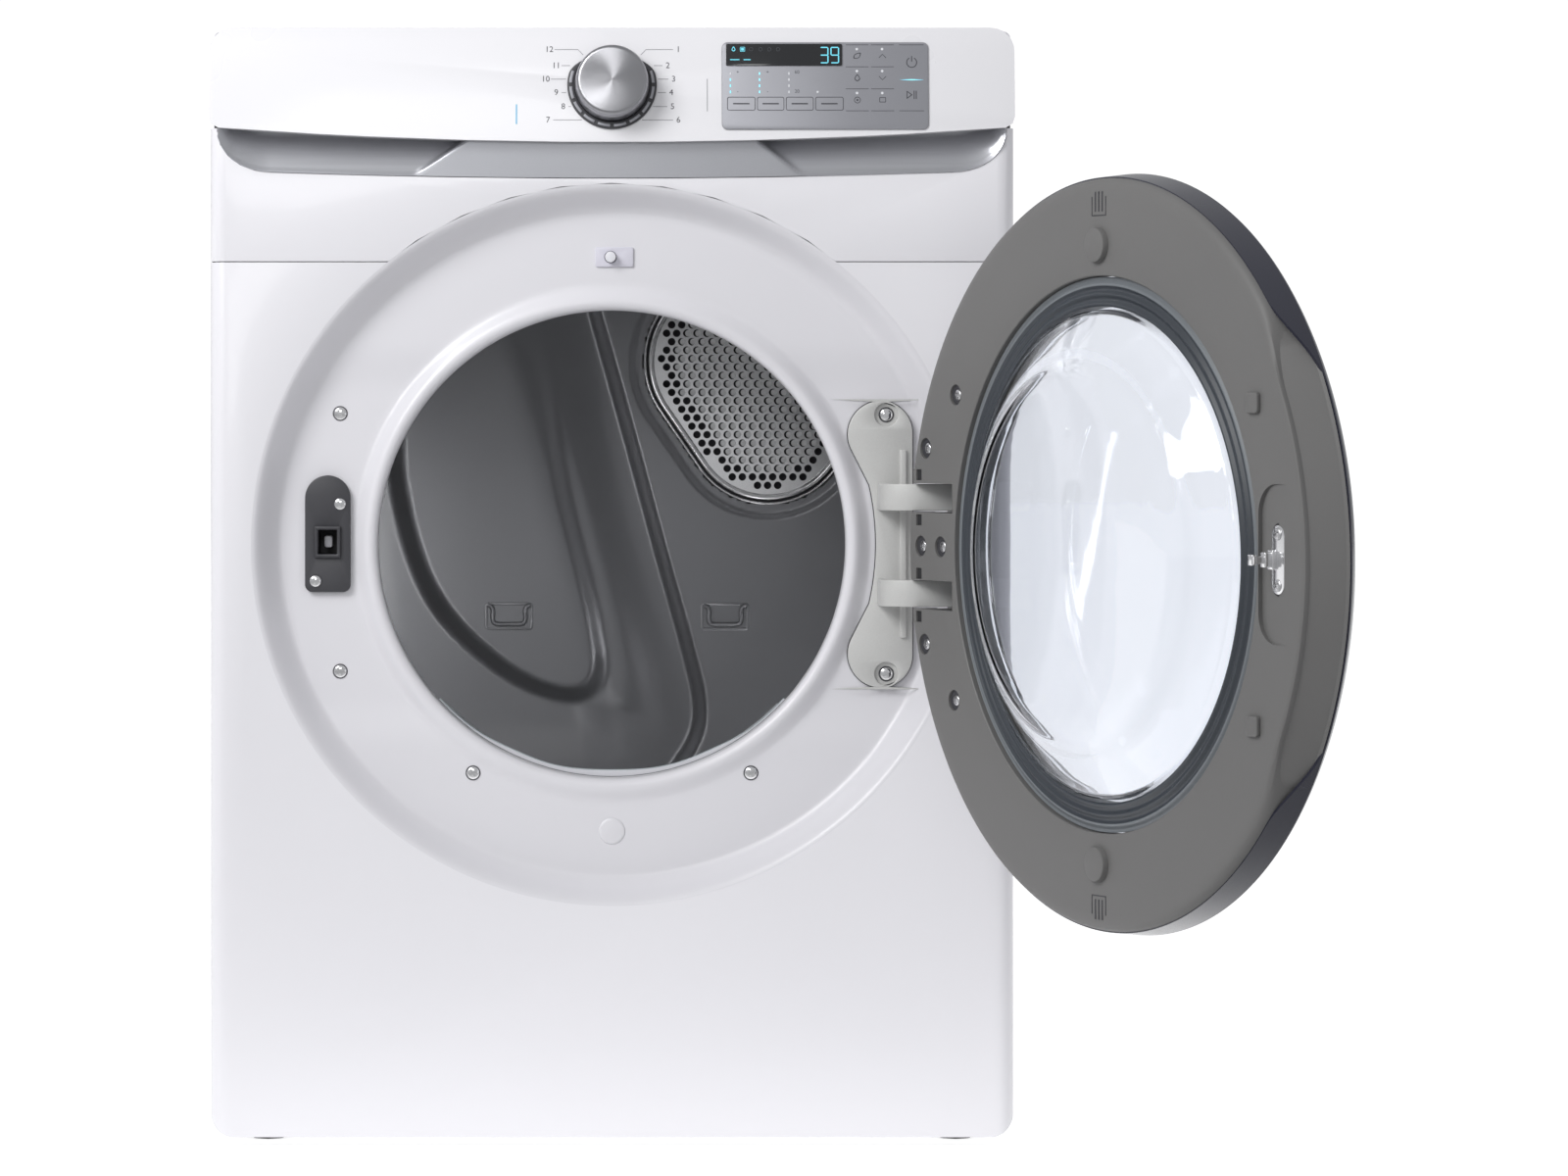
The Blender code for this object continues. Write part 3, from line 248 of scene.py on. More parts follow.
WHITE = surface(
    "white_enamel", (0.735, 0.728, 0.76), 0.32, coat=0.2, grain=420,
    depth=0.00001, shade=0.002, rough_spread=0.01,
)
# The white enamel made darker for the recessed dish, which is painted shade; it is also a little rougher.
WHITE_DISH_PAINTED_SHADE = surface(
    "white_enamel_painted_shade", (0.675, 0.668, 0.70), 0.38, coat=0.15, grain=420,
    depth=0.00001, shade=0.002, rough_spread=0.01,
)
WHITE_PLASTIC = surface(
    "white_moulding", (0.77, 0.765, 0.79), 0.28, coat=0.2, grain=700,
    depth=0.00001, shade=0.002, rough_spread=0.01,
)
SILVER = surface(
    "satin_silver", (0.36, 0.365, 0.39), 0.34, 0.55, grain=900, depth=0.00002, shade=0.05
)
BRUSHED_SILVER = surface(
    "brushed_silver",
    (0.42, 0.425, 0.45),
    0.30,
    0.7,
    grain=60,
    depth=0.00003,
    stretch=(0.06, 24, 24),
    shade=0.06,
    rough_spread=0.02,
)
PLATE_SILVER = surface("plate_silver", (0.31, 0.313, 0.34), 0.38, 0.35, grain=1500, depth=0.00001, shade=0.02)
DISPLAY = surface(
    "display_black", (0.006, 0.007, 0.009), 0.12, coat=0.6, grain=900, depth=0.000005, shade=0.1
)
GALVANISED = surface("galvanised", (0.55, 0.56, 0.57), 0.38, 1.0, grain=60, depth=0.00003, shade=0.10)
STEEL = surface("machined_steel", (0.58, 0.58, 0.59), 0.30, 1.0, grain=500, depth=0.00001, shade=0.05)
CHROME = surface("bright_plating", (0.80, 0.80, 0.81), 0.14, 1.0, grain=300, depth=0.000005, shade=0.02)
GRILLE_METAL = surface("grille_plating", (0.86, 0.86, 0.87), 0.25, 1.0, grain=300, depth=0.00001, shade=0.03)
# White for the discs behind the grille's holes: painted light seen through them.
LIT_DISC_WHITE = surface("grille_lit_discs", (0.90, 0.90, 0.91), 0.35, 0.3, grain=400, depth=0.00002, shade=0.02)
SPUN = spun_metal("spun_aluminium", (0.40, 0.40, 0.42), 0.38)
DRUM_STEEL = surface(
    "drum_steel", (0.62, 0.62, 0.63), 0.32, 1.0, grain=60, depth=0.00002, stretch=(9, 0.6, 9)
)
DRUM_GREY = surface(
    "drum_grey", (0.27, 0.273, 0.29), 0.34, 0.45, coat=0.3, grain=900,
    depth=0.00001, shade=0.02, rough_spread=0.01,
)
DOOR_GREY = surface(
    "door_grey", (0.150, 0.148, 0.146), 0.50, grain=1300, depth=0.00004, shade=0.05, specular=0.4
)
DOOR_NAVY = surface("door_navy", (0.020, 0.021, 0.036), 0.26, coat=0.4, grain=900, depth=0.00001, shade=0.05)
GLASS = clear_glass("bowl_glass", (0.95, 0.965, 0.99), 0.02, 0.0004)
WINDOW = clear_glass("window_glass", (0.88, 0.90, 0.95), 0.01, 0.00005)
GASKET = surface("gasket_rubber", (0.035, 0.042, 0.052), 0.38, grain=700, depth=0.00003, shade=0.08)
GASKET_LIGHT = surface("gasket_band", (0.16, 0.175, 0.19), 0.40, grain=700, depth=0.00003, shade=0.05)
HINGE_PAINT = surface("hinge_paint", (0.52, 0.52, 0.51), 0.50, 0.1, grain=1100, depth=0.00009, shade=0.06)
LILAC = surface("switch_lilac", (0.60, 0.59, 0.66), 0.40, grain=900, depth=0.00002, shade=0.02)
PALE = surface("pale_moulding", (0.70, 0.70, 0.74), 0.35, grain=900, depth=0.00002, shade=0.02)
DARK = surface("dark_moulding", (0.040, 0.040, 0.046), 0.46, grain=1100, depth=0.00004, shade=0.06)
RUBBER = surface("black_rubber", (0.022, 0.022, 0.024), 0.55, grain=700, depth=0.00005, shade=0.15)
FELT = surface("seal_felt", (0.42, 0.40, 0.37), 0.90, grain=1500, depth=0.0003, shade=0.15)
BOARD = surface("circuit_board", (0.05, 0.20, 0.09), 0.40, grain=500, depth=0.00004, shade=0.15)
LIFTER = surface("lifter_moulding", (0.60, 0.61, 0.63), 0.42, grain=800, depth=0.00003, shade=0.03)
PRINT_DARK = surface("print_dark", (0.05, 0.05, 0.06), 0.50, grain=900, depth=0.000005, shade=0.05)
PRINT_GREY = surface("print_grey", (0.30, 0.30, 0.32), 0.50, grain=900, depth=0.000005, shade=0.05)
PRINT_BLUE = surface("print_blue", (0.10, 0.46, 0.72), 0.45, grain=900, depth=0.000005, shade=0.05)
LED_BLUE = glowing("led_blue", (0.25, 0.80, 1.0), 1.3)
LED_OFF = surface("led_off", (0.72, 0.73, 0.76), 0.35, grain=900, depth=0.000005, shade=0.03)
DIGIT_BLUE = glowing("digit_blue", (0.16, 0.66, 0.80), 1.0)
ICON_DIM = surface("icon_dim", (0.05, 0.055, 0.065), 0.30, grain=900, depth=0.000005, shade=0.1)
FILTER_CLEAR = surface(
    "filter_moulding", (0.42, 0.46, 0.48), 0.30, coat=0.3, grain=500, depth=0.00002, shade=0.05
)

SLOT_OF = {n["node"]: n["material_slot"] for n in frame["record"]["subparts"]}


# ---------------------------------------------------------------- mesh tools


def smooth(value, start, end):
    """0 before start, 1 after end, and a soft rise between them."""
    t = min(1.0, max(0.0, (value - start) / (end - start)))
    return t * t * (3 - 2 * t)


def add_mesh(name, vertices, faces, material, matrix=None, sharp=32):
    mesh = bpy.data.meshes.new(name)
    mesh.from_pydata([tuple(v) for v in vertices], [], faces)
    made = bmesh.new()
    made.from_mesh(mesh)
    bmesh.ops.recalc_face_normals(made, faces=made.faces)
    made.to_mesh(mesh)
    made.free()
    piece = bpy.data.objects.new(name, mesh)
    bpy.context.scene.collection.objects.link(piece)
    mesh.materials.append(material)
    if matrix is not None:
        mesh.transform(matrix)
    mesh.shade_smooth()
    mesh.set_sharp_from_angle(angle=math.radians(sharp))
    return piece


def evaluated_mesh(piece):
    graph = bpy.context.evaluated_depsgraph_get()
    return bpy.data.meshes.new_from_object(piece.evaluated_get(graph), depsgraph=graph)


def bake_modifiers(piece, sharp=32):
    mesh = evaluated_mesh(piece)
    piece.modifiers.clear()
    piece.data = mesh
    mesh.shade_smooth()
    mesh.set_sharp_from_angle(angle=math.radians(sharp))
    return piece


def combine(target, others, operation, sharp=32):
    """Cuts, joins or crosses target with the other pieces, which are used up."""
    for other in others:
        step = target.modifiers.new(operation, "BOOLEAN")
        step.operation = operation
        step.solver = "EXACT"
        step.object = other
    bake_modifiers(target, sharp)
    for other in others:
        bpy.data.objects.remove(other)
    return target


def soften(piece, width, segments=3, angle=35):
    """Rounds the piece's sharp edges."""
    step = piece.modifiers.new("soft_edges", "BEVEL")
    step.width = width
    step.segments = segments
    step.limit_method = "ANGLE"
    step.angle_limit = math.radians(angle)
    step.harden_normals = False
    step.miter_outer = "MITER_ARC"
    return piece


def lathe(name, profile, material, matrix, steps=128, sharp=32):
    """Turns a closed (radius, height) profile about local Z. A radius of 0 closes it on the axis."""
    vertices = []
    rows = []
    for radius, height in profile:
        if radius < 1e-7:
            rows.append([len(vertices)] * steps)
            vertices.append((0, 0, height))
            continue
        rows.append([len(vertices) + k for k in range(steps)])
        for k in range(steps):
            angle = math.tau * k / steps
            vertices.append((radius * math.cos(angle), radius * math.sin(angle), height))
    faces = []
    closed = profile[0][0] > 1e-7 or profile[-1][0] > 1e-7
    for index in range(len(rows) if closed else len(rows) - 1):
        here, after = rows[index], rows[(index + 1) % len(rows)]
        for k in range(steps):
            j = (k + 1) % steps
            face = []
            for corner in (here[k], here[j], after[j], after[k]):
                if corner not in face:
                    face.append(corner)
            if len(face) > 2:
                faces.append(face)
    return add_mesh(name, vertices, faces, material, matrix, sharp)


def extruded(name, outline, low, high, material, matrix=None, sharp=32):
    """A closed outline in local XY drawn out from low to high along local Z."""
    count = len(outline)
    vertices = [(a, b, low) for a, b in outline] + [(a, b, high) for a, b in outline]
    faces = [list(range(count)), list(range(count, 2 * count))]
    faces += [[k, (k + 1) % count, (k + 1) % count + count, k + count] for k in range(count)]
    return add_mesh(name, vertices, faces, material, matrix, sharp)


def block(name, low, high, material, matrix=None):
    outline = [(low[0], low[1]), (high[0], low[1]), (high[0], high[1]), (low[0], high[1])]
    return extruded(name, outline, low[2], high[2], material, matrix)


def filled(name, outlines, low, high, material, matrix, bevel=0.0):
    """Flat shapes from outlines in local XY, an outline inside another being a hole, from low to high."""
    curve = bpy.data.curves.new(name, "CURVE")
    curve.dimensions = "2D"
    curve.fill_mode = "BOTH"
    curve.extrude = (high - low) / 2 - bevel
    curve.bevel_depth = bevel
    curve.bevel_resolution = 1
    curve.offset = -bevel
    for outline in outlines:
        spline = curve.splines.new("POLY")
        spline.points.add(len(outline) - 1)
        for point, place in zip(spline.points, outline):
            point.co = (place[0], place[1], 0, 1)
        spline.use_cyclic_u = True
    return from_curve(name, curve, material, matrix @ Matrix.Translation((0, 0, (low + high) / 2)))


def from_curve(name, curve, material, matrix, sharp=32):
    """A mesh piece from a curve or text."""
    source = bpy.data.objects.new(name + "_line", curve)
    bpy.context.scene.collection.objects.link(source)
    mesh = evaluated_mesh(source)
    bpy.data.objects.remove(source)
    piece = bpy.data.objects.new(name, mesh)
    bpy.context.scene.collection.objects.link(piece)
    mesh.materials.clear()
    mesh.materials.append(material)
    made = bmesh.new()
    made.from_mesh(mesh)
    bmesh.ops.remove_doubles(made, verts=made.verts, dist=1e-6)
    bmesh.ops.recalc_face_normals(made, faces=made.faces)
    made.to_mesh(mesh)
    made.free()
    mesh.transform(matrix)
    mesh.shade_smooth()
    mesh.set_sharp_from_angle(angle=math.radians(sharp))
    return piece


def rod_along(name, points, radius, material, closed=False, resolution=4):
    """A round bar through points."""
    curve = bpy.data.curves.new(name, "CURVE")
    curve.dimensions = "3D"
    curve.bevel_depth = radius
    curve.bevel_resolution = resolution
    curve.use_fill_caps = True
    spline = curve.splines.new("POLY")
    spline.points.add(len(points) - 1)
    for point, place in zip(spline.points, points):
        point.co = (*place, 1)
    spline.use_cyclic_u = closed
    return from_curve(name, curve, material, Matrix.Identity(4), 50)


def letters(name, text, size, material, matrix, align="CENTER"):
    """Plain generic numerals and signs, as a thin print on a face."""
    curve = bpy.data.curves.new(name, "FONT")
    curve.body = text
    curve.size = size
    curve.align_x = align
    curve.align_y = "CENTER"
    curve.extrude = 0.00005
    curve.resolution_u = 3
    return from_curve(name, curve, material, matrix)


def gather(name, pieces):
    """One piece made of several that share a material."""
    made = bmesh.new()
    for piece in pieces:
        made.from_mesh(piece.data)
    mesh = bpy.data.meshes.new(name)
    made.to_mesh(mesh)
    made.free()
    mesh.materials.append(pieces[0].data.materials[0])
    mesh.shade_smooth()
    mesh.set_sharp_from_angle(angle=math.radians(32))
    for piece in pieces:
        bpy.data.objects.remove(piece)
    whole = bpy.data.objects.new(name, mesh)
    bpy.context.scene.collection.objects.link(whole)
    return whole


def arc(centre_a, centre_b, radius, start_deg, end_deg, steps):
    points = []
    for k in range(steps + 1):
        angle = math.radians(start_deg + (end_deg - start_deg) * k / steps)
        points.append((centre_a + radius * math.cos(angle), centre_b + radius * math.sin(angle)))
    return points


def circle(centre_a, centre_b, radius, steps=48):
    return arc(centre_a, centre_b, radius, 0, 360 - 360 / steps, steps - 1)


def rounded_box(low_a, low_b, high_a, high_b, radius, steps=6):
    points = arc(high_a - radius, high_b - radius, radius, 0, 90, steps)
    points += arc(low_a + radius, high_b - radius, radius, 90, 180, steps)
    points += arc(low_a + radius, low_b + radius, radius, 180, 270, steps)
    points += arc(high_a - radius, low_b + radius, radius, 270, 360, steps)
    return points


def stroke(points, width):
    """The outline of a thin line of one width through points."""
    half = width / 2
    left, right = [], []
    for index, place in enumerate(points):
        before = Vector(points[max(index - 1, 0)])
        after = Vector(points[min(index + 1, len(points) - 1)])
        along = (after - before).normalized()
        across = Vector((-along.y, along.x)) * half
        left.append(tuple(Vector(place) + across))
        right.append(tuple(Vector(place) - across))
    return left + right[::-1]


def flowing(points, steps=8, closed=True):
    """A smooth line through a few control points (Catmull-Rom)."""
    count = len(points)
    line = []
    for index in range(count if closed else count - 1):
        p = []
        for shift in (-1, 0, 1, 2):
            at = index + shift
            p.append(Vector(points[at % count] if closed else points[min(max(at, 0), count - 1)]))
        for k in range(steps):
            t = k / steps
            place = 2 * p[1] + (p[2] - p[0]) * t
            place += (2 * p[0] - 5 * p[1] + 4 * p[2] - p[3]) * t**2
            place += (3 * p[1] - p[0] - 3 * p[2] + p[3]) * t**3
            line.append(tuple(place / 2))
    if not closed:
        line.append(tuple(points[-1]))
    return line


def mount(piece, body, slot, *nodes):
    """The piece rides on a body and may stand for CAD nodes, which are hidden; the slot argument is not used.
    """
    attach(piece, body)
    if nodes:
        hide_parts(*nodes)
    return piece


def carry(node, material, bevel=0.0, segments=3, angle=35, sharp=32):
    """The CAD node's own shape as a clean mesh, with soft edges and a full finish."""
    made = bmesh.new()
    made.from_mesh(NODES[node].data)
    bmesh.ops.remove_doubles(made, verts=made.verts, dist=2e-6)
    bmesh.ops.dissolve_limit(
        made, angle_limit=math.radians(0.6), verts=made.verts, edges=made.edges, delimit={"NORMAL"}
    )
    bmesh.ops.recalc_face_normals(made, faces=made.faces)
    mesh = bpy.data.meshes.new(node + "_shape")
    made.to_mesh(mesh)
    made.free()
    mesh.materials.append(material)
    mesh.shade_smooth()
    mesh.set_sharp_from_angle(angle=math.radians(sharp))
    piece = bpy.data.objects.new(node + "_shape", mesh)
    bpy.context.scene.collection.objects.link(piece)
    if bevel:
        soften(piece, bevel, segments, angle)
        bake_modifiers(piece, sharp)
    return mount(piece, NODES[node]["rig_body"], SLOT_OF[node], node)


def facing(x, z, forward=0.0):
    """Local X to the right, local Y up and local Z out of the front, from a point on the front."""
    return Matrix.Translation((x, FRONT_Y - forward, z)) @ FACING


def on_panel(x, z, forward=0.0):
    """The same, on the control panel's leaning face."""
    back = PANEL_LEAN * (HEIGHT - z) / (HEIGHT - PANEL_BOTTOM_Z)
    place = Matrix.Translation((x, FRONT_Y - back, z))
    return place @ Matrix.Rotation(math.radians(90) - LEAN, 4, "X") @ Matrix.Translation((0, 0, forward))


def on_door(u, z, w):
    """A place on the open door: u from the hinge axis across the door and w out of its outer side."""
    return DOOR_TURN @ Matrix.Translation((HINGE.x - u, HINGE.y - w, z)) @ FACING


def on_door_inside(u, z, w):
    """The same with local Z out of the door's inner face, towards the user when the door is open."""
    return on_door(u, z, w) @ Matrix.Rotation(math.pi, 4, "Y")


# ---------------------------------------------------------------- small parts


def screw_head(name, radius, matrix, material=CHROME):
    """A domed head with a cross recess."""
    rise = radius * 0.42
    profile = [(0, -0.0008), (radius, -0.0008), (radius, rise * 0.25)]
    for k in range(1, 7):
        angle = math.radians(15 * k)
        profile.append((radius * math.cos(angle), rise * (0.25 + 0.75 * math.sin(angle))))
    profile[-1] = (0, rise)
    head = lathe(name, profile, material, Matrix.Identity(4), 32, 40)
    arm, half = radius * 0.62, radius * 0.13
    cutters = []
    for turn in (0.6, 0.6 + math.pi / 2):
        cutter = block("cross", (-arm, -half, rise * 0.35), (arm, half, rise * 2), material)
        cutter.data.transform(Matrix.Rotation(turn, 4, "Z"))
        cutters.append(cutter)
    combine(head, cutters, "DIFFERENCE", 40)
    head.data.transform(matrix)
    return head


# ---------------------------------------------------------------- cabinet front


def front_section(steps):
    """The front sheet seen from above, with its soft vertical edges and its returns."""
    edge = FRONT_Y + EDGE_RADIUS
    outer = [(-HALF_WIDTH, FRONT_Y + RETURN_DEPTH)]
    outer += arc(-HALF_WIDTH + EDGE_RADIUS, edge, EDGE_RADIUS, 180, 270, steps)
    outer += arc(HALF_WIDTH - EDGE_RADIUS, edge, EDGE_RADIUS, 270, 360, steps)
    outer.append((HALF_WIDTH, FRONT_Y + RETURN_DEPTH))
    sheet = 0.0012
    inner_edge = EDGE_RADIUS - sheet
    inner = [(HALF_WIDTH - sheet, FRONT_Y + RETURN_DEPTH)]
    inner += arc(HALF_WIDTH - EDGE_RADIUS, edge, inner_edge, 360, 270, steps)
    inner += arc(-HALF_WIDTH + EDGE_RADIUS, edge, inner_edge, 270, 180, steps)
    inner.append((-HALF_WIDTH + sheet, FRONT_Y + RETURN_DEPTH))
    return outer + inner


def dish_floor(z):
    """The dish's floor: the zones beside the opening are pressed a little deeper."""
    into = smooth(z, 0.331, 0.373) * (1 - smooth(z, 0.636, 0.676))
    return DISH_FLOOR + DISH_STEP * (1 - into)


def dish_forward(radius, z):
    """The dish from its rim, down its soft wall and over the lip towards the opening."""
    floor = dish_floor(z)
    wall = 1 - smooth(radius, DISH_WALL_FOOT, DISH_RADIUS)
    lip = 1 - smooth(radius, LIP_INNER, LIP_OUTER)
    return floor * wall + (LIP_FORWARD - floor) * lip


def build_dish():
    steps = 288
    radii = [DISH_RADIUS - (DISH_RADIUS - DISH_WALL_FOOT) * k / 16 for k in range(17)]
    radii += [DISH_WALL_FOOT - (DISH_WALL_FOOT - LIP_OUTER) * k / 16 for k in range(1, 17)]
    radii += [LIP_OUTER - (LIP_OUTER - LIP_INNER) * k / 10 for k in range(1, 11)]
    vertices = []
    for radius in radii:
        for k in range(steps):
            angle = math.tau * k / steps
            z = OPENING_Z + radius * math.sin(angle)
            vertices.append((radius * math.cos(angle), FRONT_Y - dish_forward(radius, z), z))
    bend = LIP_INNER - OPENING_RADIUS
    for row in range(1, 9):
        turn = math.radians(90 * row / 8)
        radius = LIP_INNER - bend * math.sin(turn)
        forward = LIP_FORWARD - bend * (1 - math.cos(turn))
        for k in range(steps):
            angle = math.tau * k / steps
            vertices.append(
                (radius * math.cos(angle), FRONT_Y - forward, OPENING_Z + radius * math.sin(angle))
            )
    for k in range(steps):
        angle = math.tau * k / steps
        place = (OPENING_RADIUS * math.cos(angle), OPENING_RADIUS * math.sin(angle))
        vertices.append((place[0], FRONT_Y - FLANGE_BACK, OPENING_Z + place[1]))
    rows = len(vertices) // steps
    faces = []
    for row in range(rows - 1):
        for k in range(steps):
            j = (k + 1) % steps
            faces.append([row * steps + k, row * steps + j, (row + 1) * steps + j, (row + 1) * steps + k])
    # The dish takes the darker white: painted shade in its recess.
    dish = add_mesh("dish", vertices, faces, WHITE_DISH_PAINTED_SHADE)
    middle = dish.data.polygons[0]
    thickness = dish.modifiers.new("sheet", "SOLIDIFY")
    thickness.thickness = 0.0010
    thickness.offset = -1.0 if middle.normal.y < 0 else 1.0
    bake_modifiers(dish)
    holes = []
    for name, low, high, place in (
        ("latch_hole", (-0.0125, -0.015), (0.0125, 0.015), facing(LATCH_X, LATCH_Z)),
        ("switch_hole", (-0.0120, -0.0070), (0.0125, 0.0070), facing(0, SWITCH_Z)),
    ):
        holes.append(block(name, (*low, -0.045), (*high, -0.015), WHITE, place))
    return combine(dish, holes, "DIFFERENCE")


def build_front_panel():
    sheet = extruded("sheet", front_section(14), 0.0, SEAM_Z, WHITE)
    spare = 0.0005
    side = HALF_WIDTH + spare
    outline = rounded_box(-side, -spare, side, 2 * SEAM_Z, BOTTOM_CORNER + spare, 12)
    keep = extruded("keep", outline, -0.05, 0.01, WHITE, facing(0, 0))
    combine(sheet, [keep], "INTERSECT")
    hole = extruded("hole", circle(0, 0, DISH_RADIUS, 288), -0.02, 0.02, WHITE, facing(0, OPENING_Z))
    combine(sheet, [hole], "DIFFERENCE")
    soften(sheet, 0.0010, 3, 40)
    bake_modifiers(sheet)
    sheet.name = "front_panel_sheet"
    mount(sheet, "cabinet", "white_enamel", "front_panel")
    mount(build_dish(), "cabinet", "white_enamel")


def build_upper_front():
    carry("upper_front_panel", WHITE, 0.0008)


def trim_bottom(x):
    """The trim's lower edge: nearly straight, then sweeping up to the panel's corners."""
    reach = abs(x)
    if reach <= 0.290:
        return TRIM_BOTTOM_Z + 0.005 * (reach / 0.290) ** 2
    across = min(1.0, (reach - 0.290) / (TRIM_HALF - 0.290))
    return TRIM_BOTTOM_Z + 0.005 + 0.034 * (1 - math.sqrt(1 - across**2))


def trim_top(x):
    return PANEL_BOTTOM_Z + 0.012 * (x / 0.33) ** 2 + 0.004


def trim_forward(x, z):
    """The trim's middle is flush. To either side a finger scoop is hollowed under the panel's lip."""
    if x < 0:
        edge = -0.169 + (z - TRIM_BOTTOM_Z) / 0.030 * 0.042
        side = smooth(edge - x, 0.0, 0.006)
    else:
        edge = 0.163 - (z - TRIM_BOTTOM_Z) / 0.030 * 0.037
        side = smooth(x - edge, 0.0, 0.006)
    low = trim_bottom(x)
    rise = min(1.0, max(0.0, (z - low - 0.0015) / 0.030))
    hollow = 0.0015 * smooth(z - low, 0.0, 0.004) + 0.0165 * rise**1.6
    end = 1 - smooth(abs(x), 0.322, TRIM_HALF)
    return 0.0010 - side * hollow * (0.25 + 0.75 * end)


def build_trim():
    columns, rows = 300, 22
    reach = TRIM_HALF - 0.0004
    vertices = []
    for index in range(columns + 1):
        x = -reach + 2 * reach * index / columns
        low, high = trim_bottom(x), trim_top(x)
        for row in range(rows + 1):
            z = low + (high - low) * row / rows
            vertices.append((x, FRONT_Y - trim_forward(x, z), z))
    faces = []
    for index in range(columns):
        for row in range(rows):
            a = index * (rows + 1) + row
            faces.append([a, a + rows + 1, a + rows + 2, a + 1])
    trim = add_mesh("handle_trim_skin", vertices, faces, BRUSHED_SILVER, None, 60)
    thickness = trim.modifiers.new("wall", "SOLIDIFY")
    thickness.thickness = 0.0022
    thickness.offset = -1.0 if trim.data.polygons[0].normal.y < 0 else 1.0
    bake_modifiers(trim, 60)
    trim.data.materials.append(SILVER)
    for face in trim.data.polygons:
        x, y, z = face.center
        if trim_forward(x, z) > 0.0008 or y > FRONT_Y + 0.019:
            face.material_index = 1
    return mount(trim, "cabinet", "satin_silver", "handle_trim")


def groove(name, radius, matrix):
    """The shadowed ring between a screw's head and the sheet it is sunk in."""
    ring = [(radius - 0.0010, -0.0004), (radius, -0.0004), (radius, 0.0003), (radius - 0.0010, 0.0003)]
    return lathe(name, ring, DARK, matrix, 40)


def sunk_screw(place, number, radius, ring_radius, matrix):
    """A bright screw head and the dark ring round it."""
    mount(screw_head(f"{place}_screw_{number + 1}", radius, matrix), "cabinet", "bright_steel")
    mount(groove(f"{place}_groove_{number + 1}", ring_radius, matrix), "cabinet", "dark_plastic")


def build_front_screws():
    places = [(-0.119, 0.309), (0.119, 0.309), (-0.233, 0.617), (-0.233, 0.396)]
    for number, (x, z) in enumerate(places):
        forward = dish_forward(math.hypot(x, z - OPENING_Z), z)
        sunk_screw("dish", number, 0.0055, 0.0064, facing(x, z, forward))
    z = 0.259
    forward = dish_forward(OPENING_Z - z, z)
    profile = [(0, -0.0010), (0.0114, -0.0010), (0.0114, 0.0001)]
    profile += [(0.0106, 0.0009), (0.0090, 0.0012), (0, 0.0012)]
    # The button sits in the dish and takes its darker white, which is painted shade.
    button = lathe("dish_button", profile, WHITE_DISH_PAINTED_SHADE, facing(0, z, forward), 64, 50)
    mount(button, "cabinet", "white_enamel")


# ---------------------------------------------------------------- controls


def build_leader_lines():
    """The leader lines from the selector to its twelve places, and the numerals that name them."""
    rows = (0.0309, 0.0170, 0.0053, -0.0063, -0.0184, -0.0300)
    starts_left = (-0.049, -0.043, -0.052, -0.043, -0.037, -0.050)
    starts_right = (0.052, 0.043, 0.048, 0.046, 0.047, 0.052)
    lines, numbers = [], []
    for side, starts in ((-1, starts_left), (1, starts_right)):
        for index, (rise, start) in enumerate(zip(rows, starts)):
            reach = math.sqrt(max(0.0, 0.0395**2 - rise**2)) if abs(rise) < 0.039 else 0.0
            touch = side * max(reach, 0.0255)
            points = [(start, rise), (touch, rise)]
            if index == 0:
                points = [(start, rise), (side * 0.0290, rise), (side * 0.0245, 0.0262)]
            lines.append(stroke(points, 0.00055))
            number = index + 1 if side > 0 else 12 - index
            place = on_panel(start + side * 0.0045, KNOB_Z + rise * math.cos(LEAN), 0.00005)
            numbers.append(letters(f"number_{number}", str(number), 0.0072, PRINT_DARK, place))
    origin = on_panel(0, KNOB_Z)
    leaders = filled("leader_lines", lines, 0.00005, 0.00015, PRINT_GREY, origin)
    mount(leaders, "cabinet", "white_plastic")
    mount(gather("place_numbers", numbers), "cabinet", "white_plastic")
    bar = [(-0.0818, -0.0335), (-0.0808, -0.0335), (-0.0808, -0.0165), (-0.0818, -0.0165)]
    blue = filled("blue_bar", [bar], 0.00005, 0.00015, PRINT_BLUE, origin)
    mount(blue, "cabinet", "white_plastic")
    bar = [(0.0808, -0.0225), (0.0814, -0.0225), (0.0814, 0.0055), (0.0808, 0.0055)]
    grey = filled("grey_bar", [bar], 0.00005, 0.00015, PRINT_GREY, origin)
    mount(grey, "cabinet", "white_plastic")


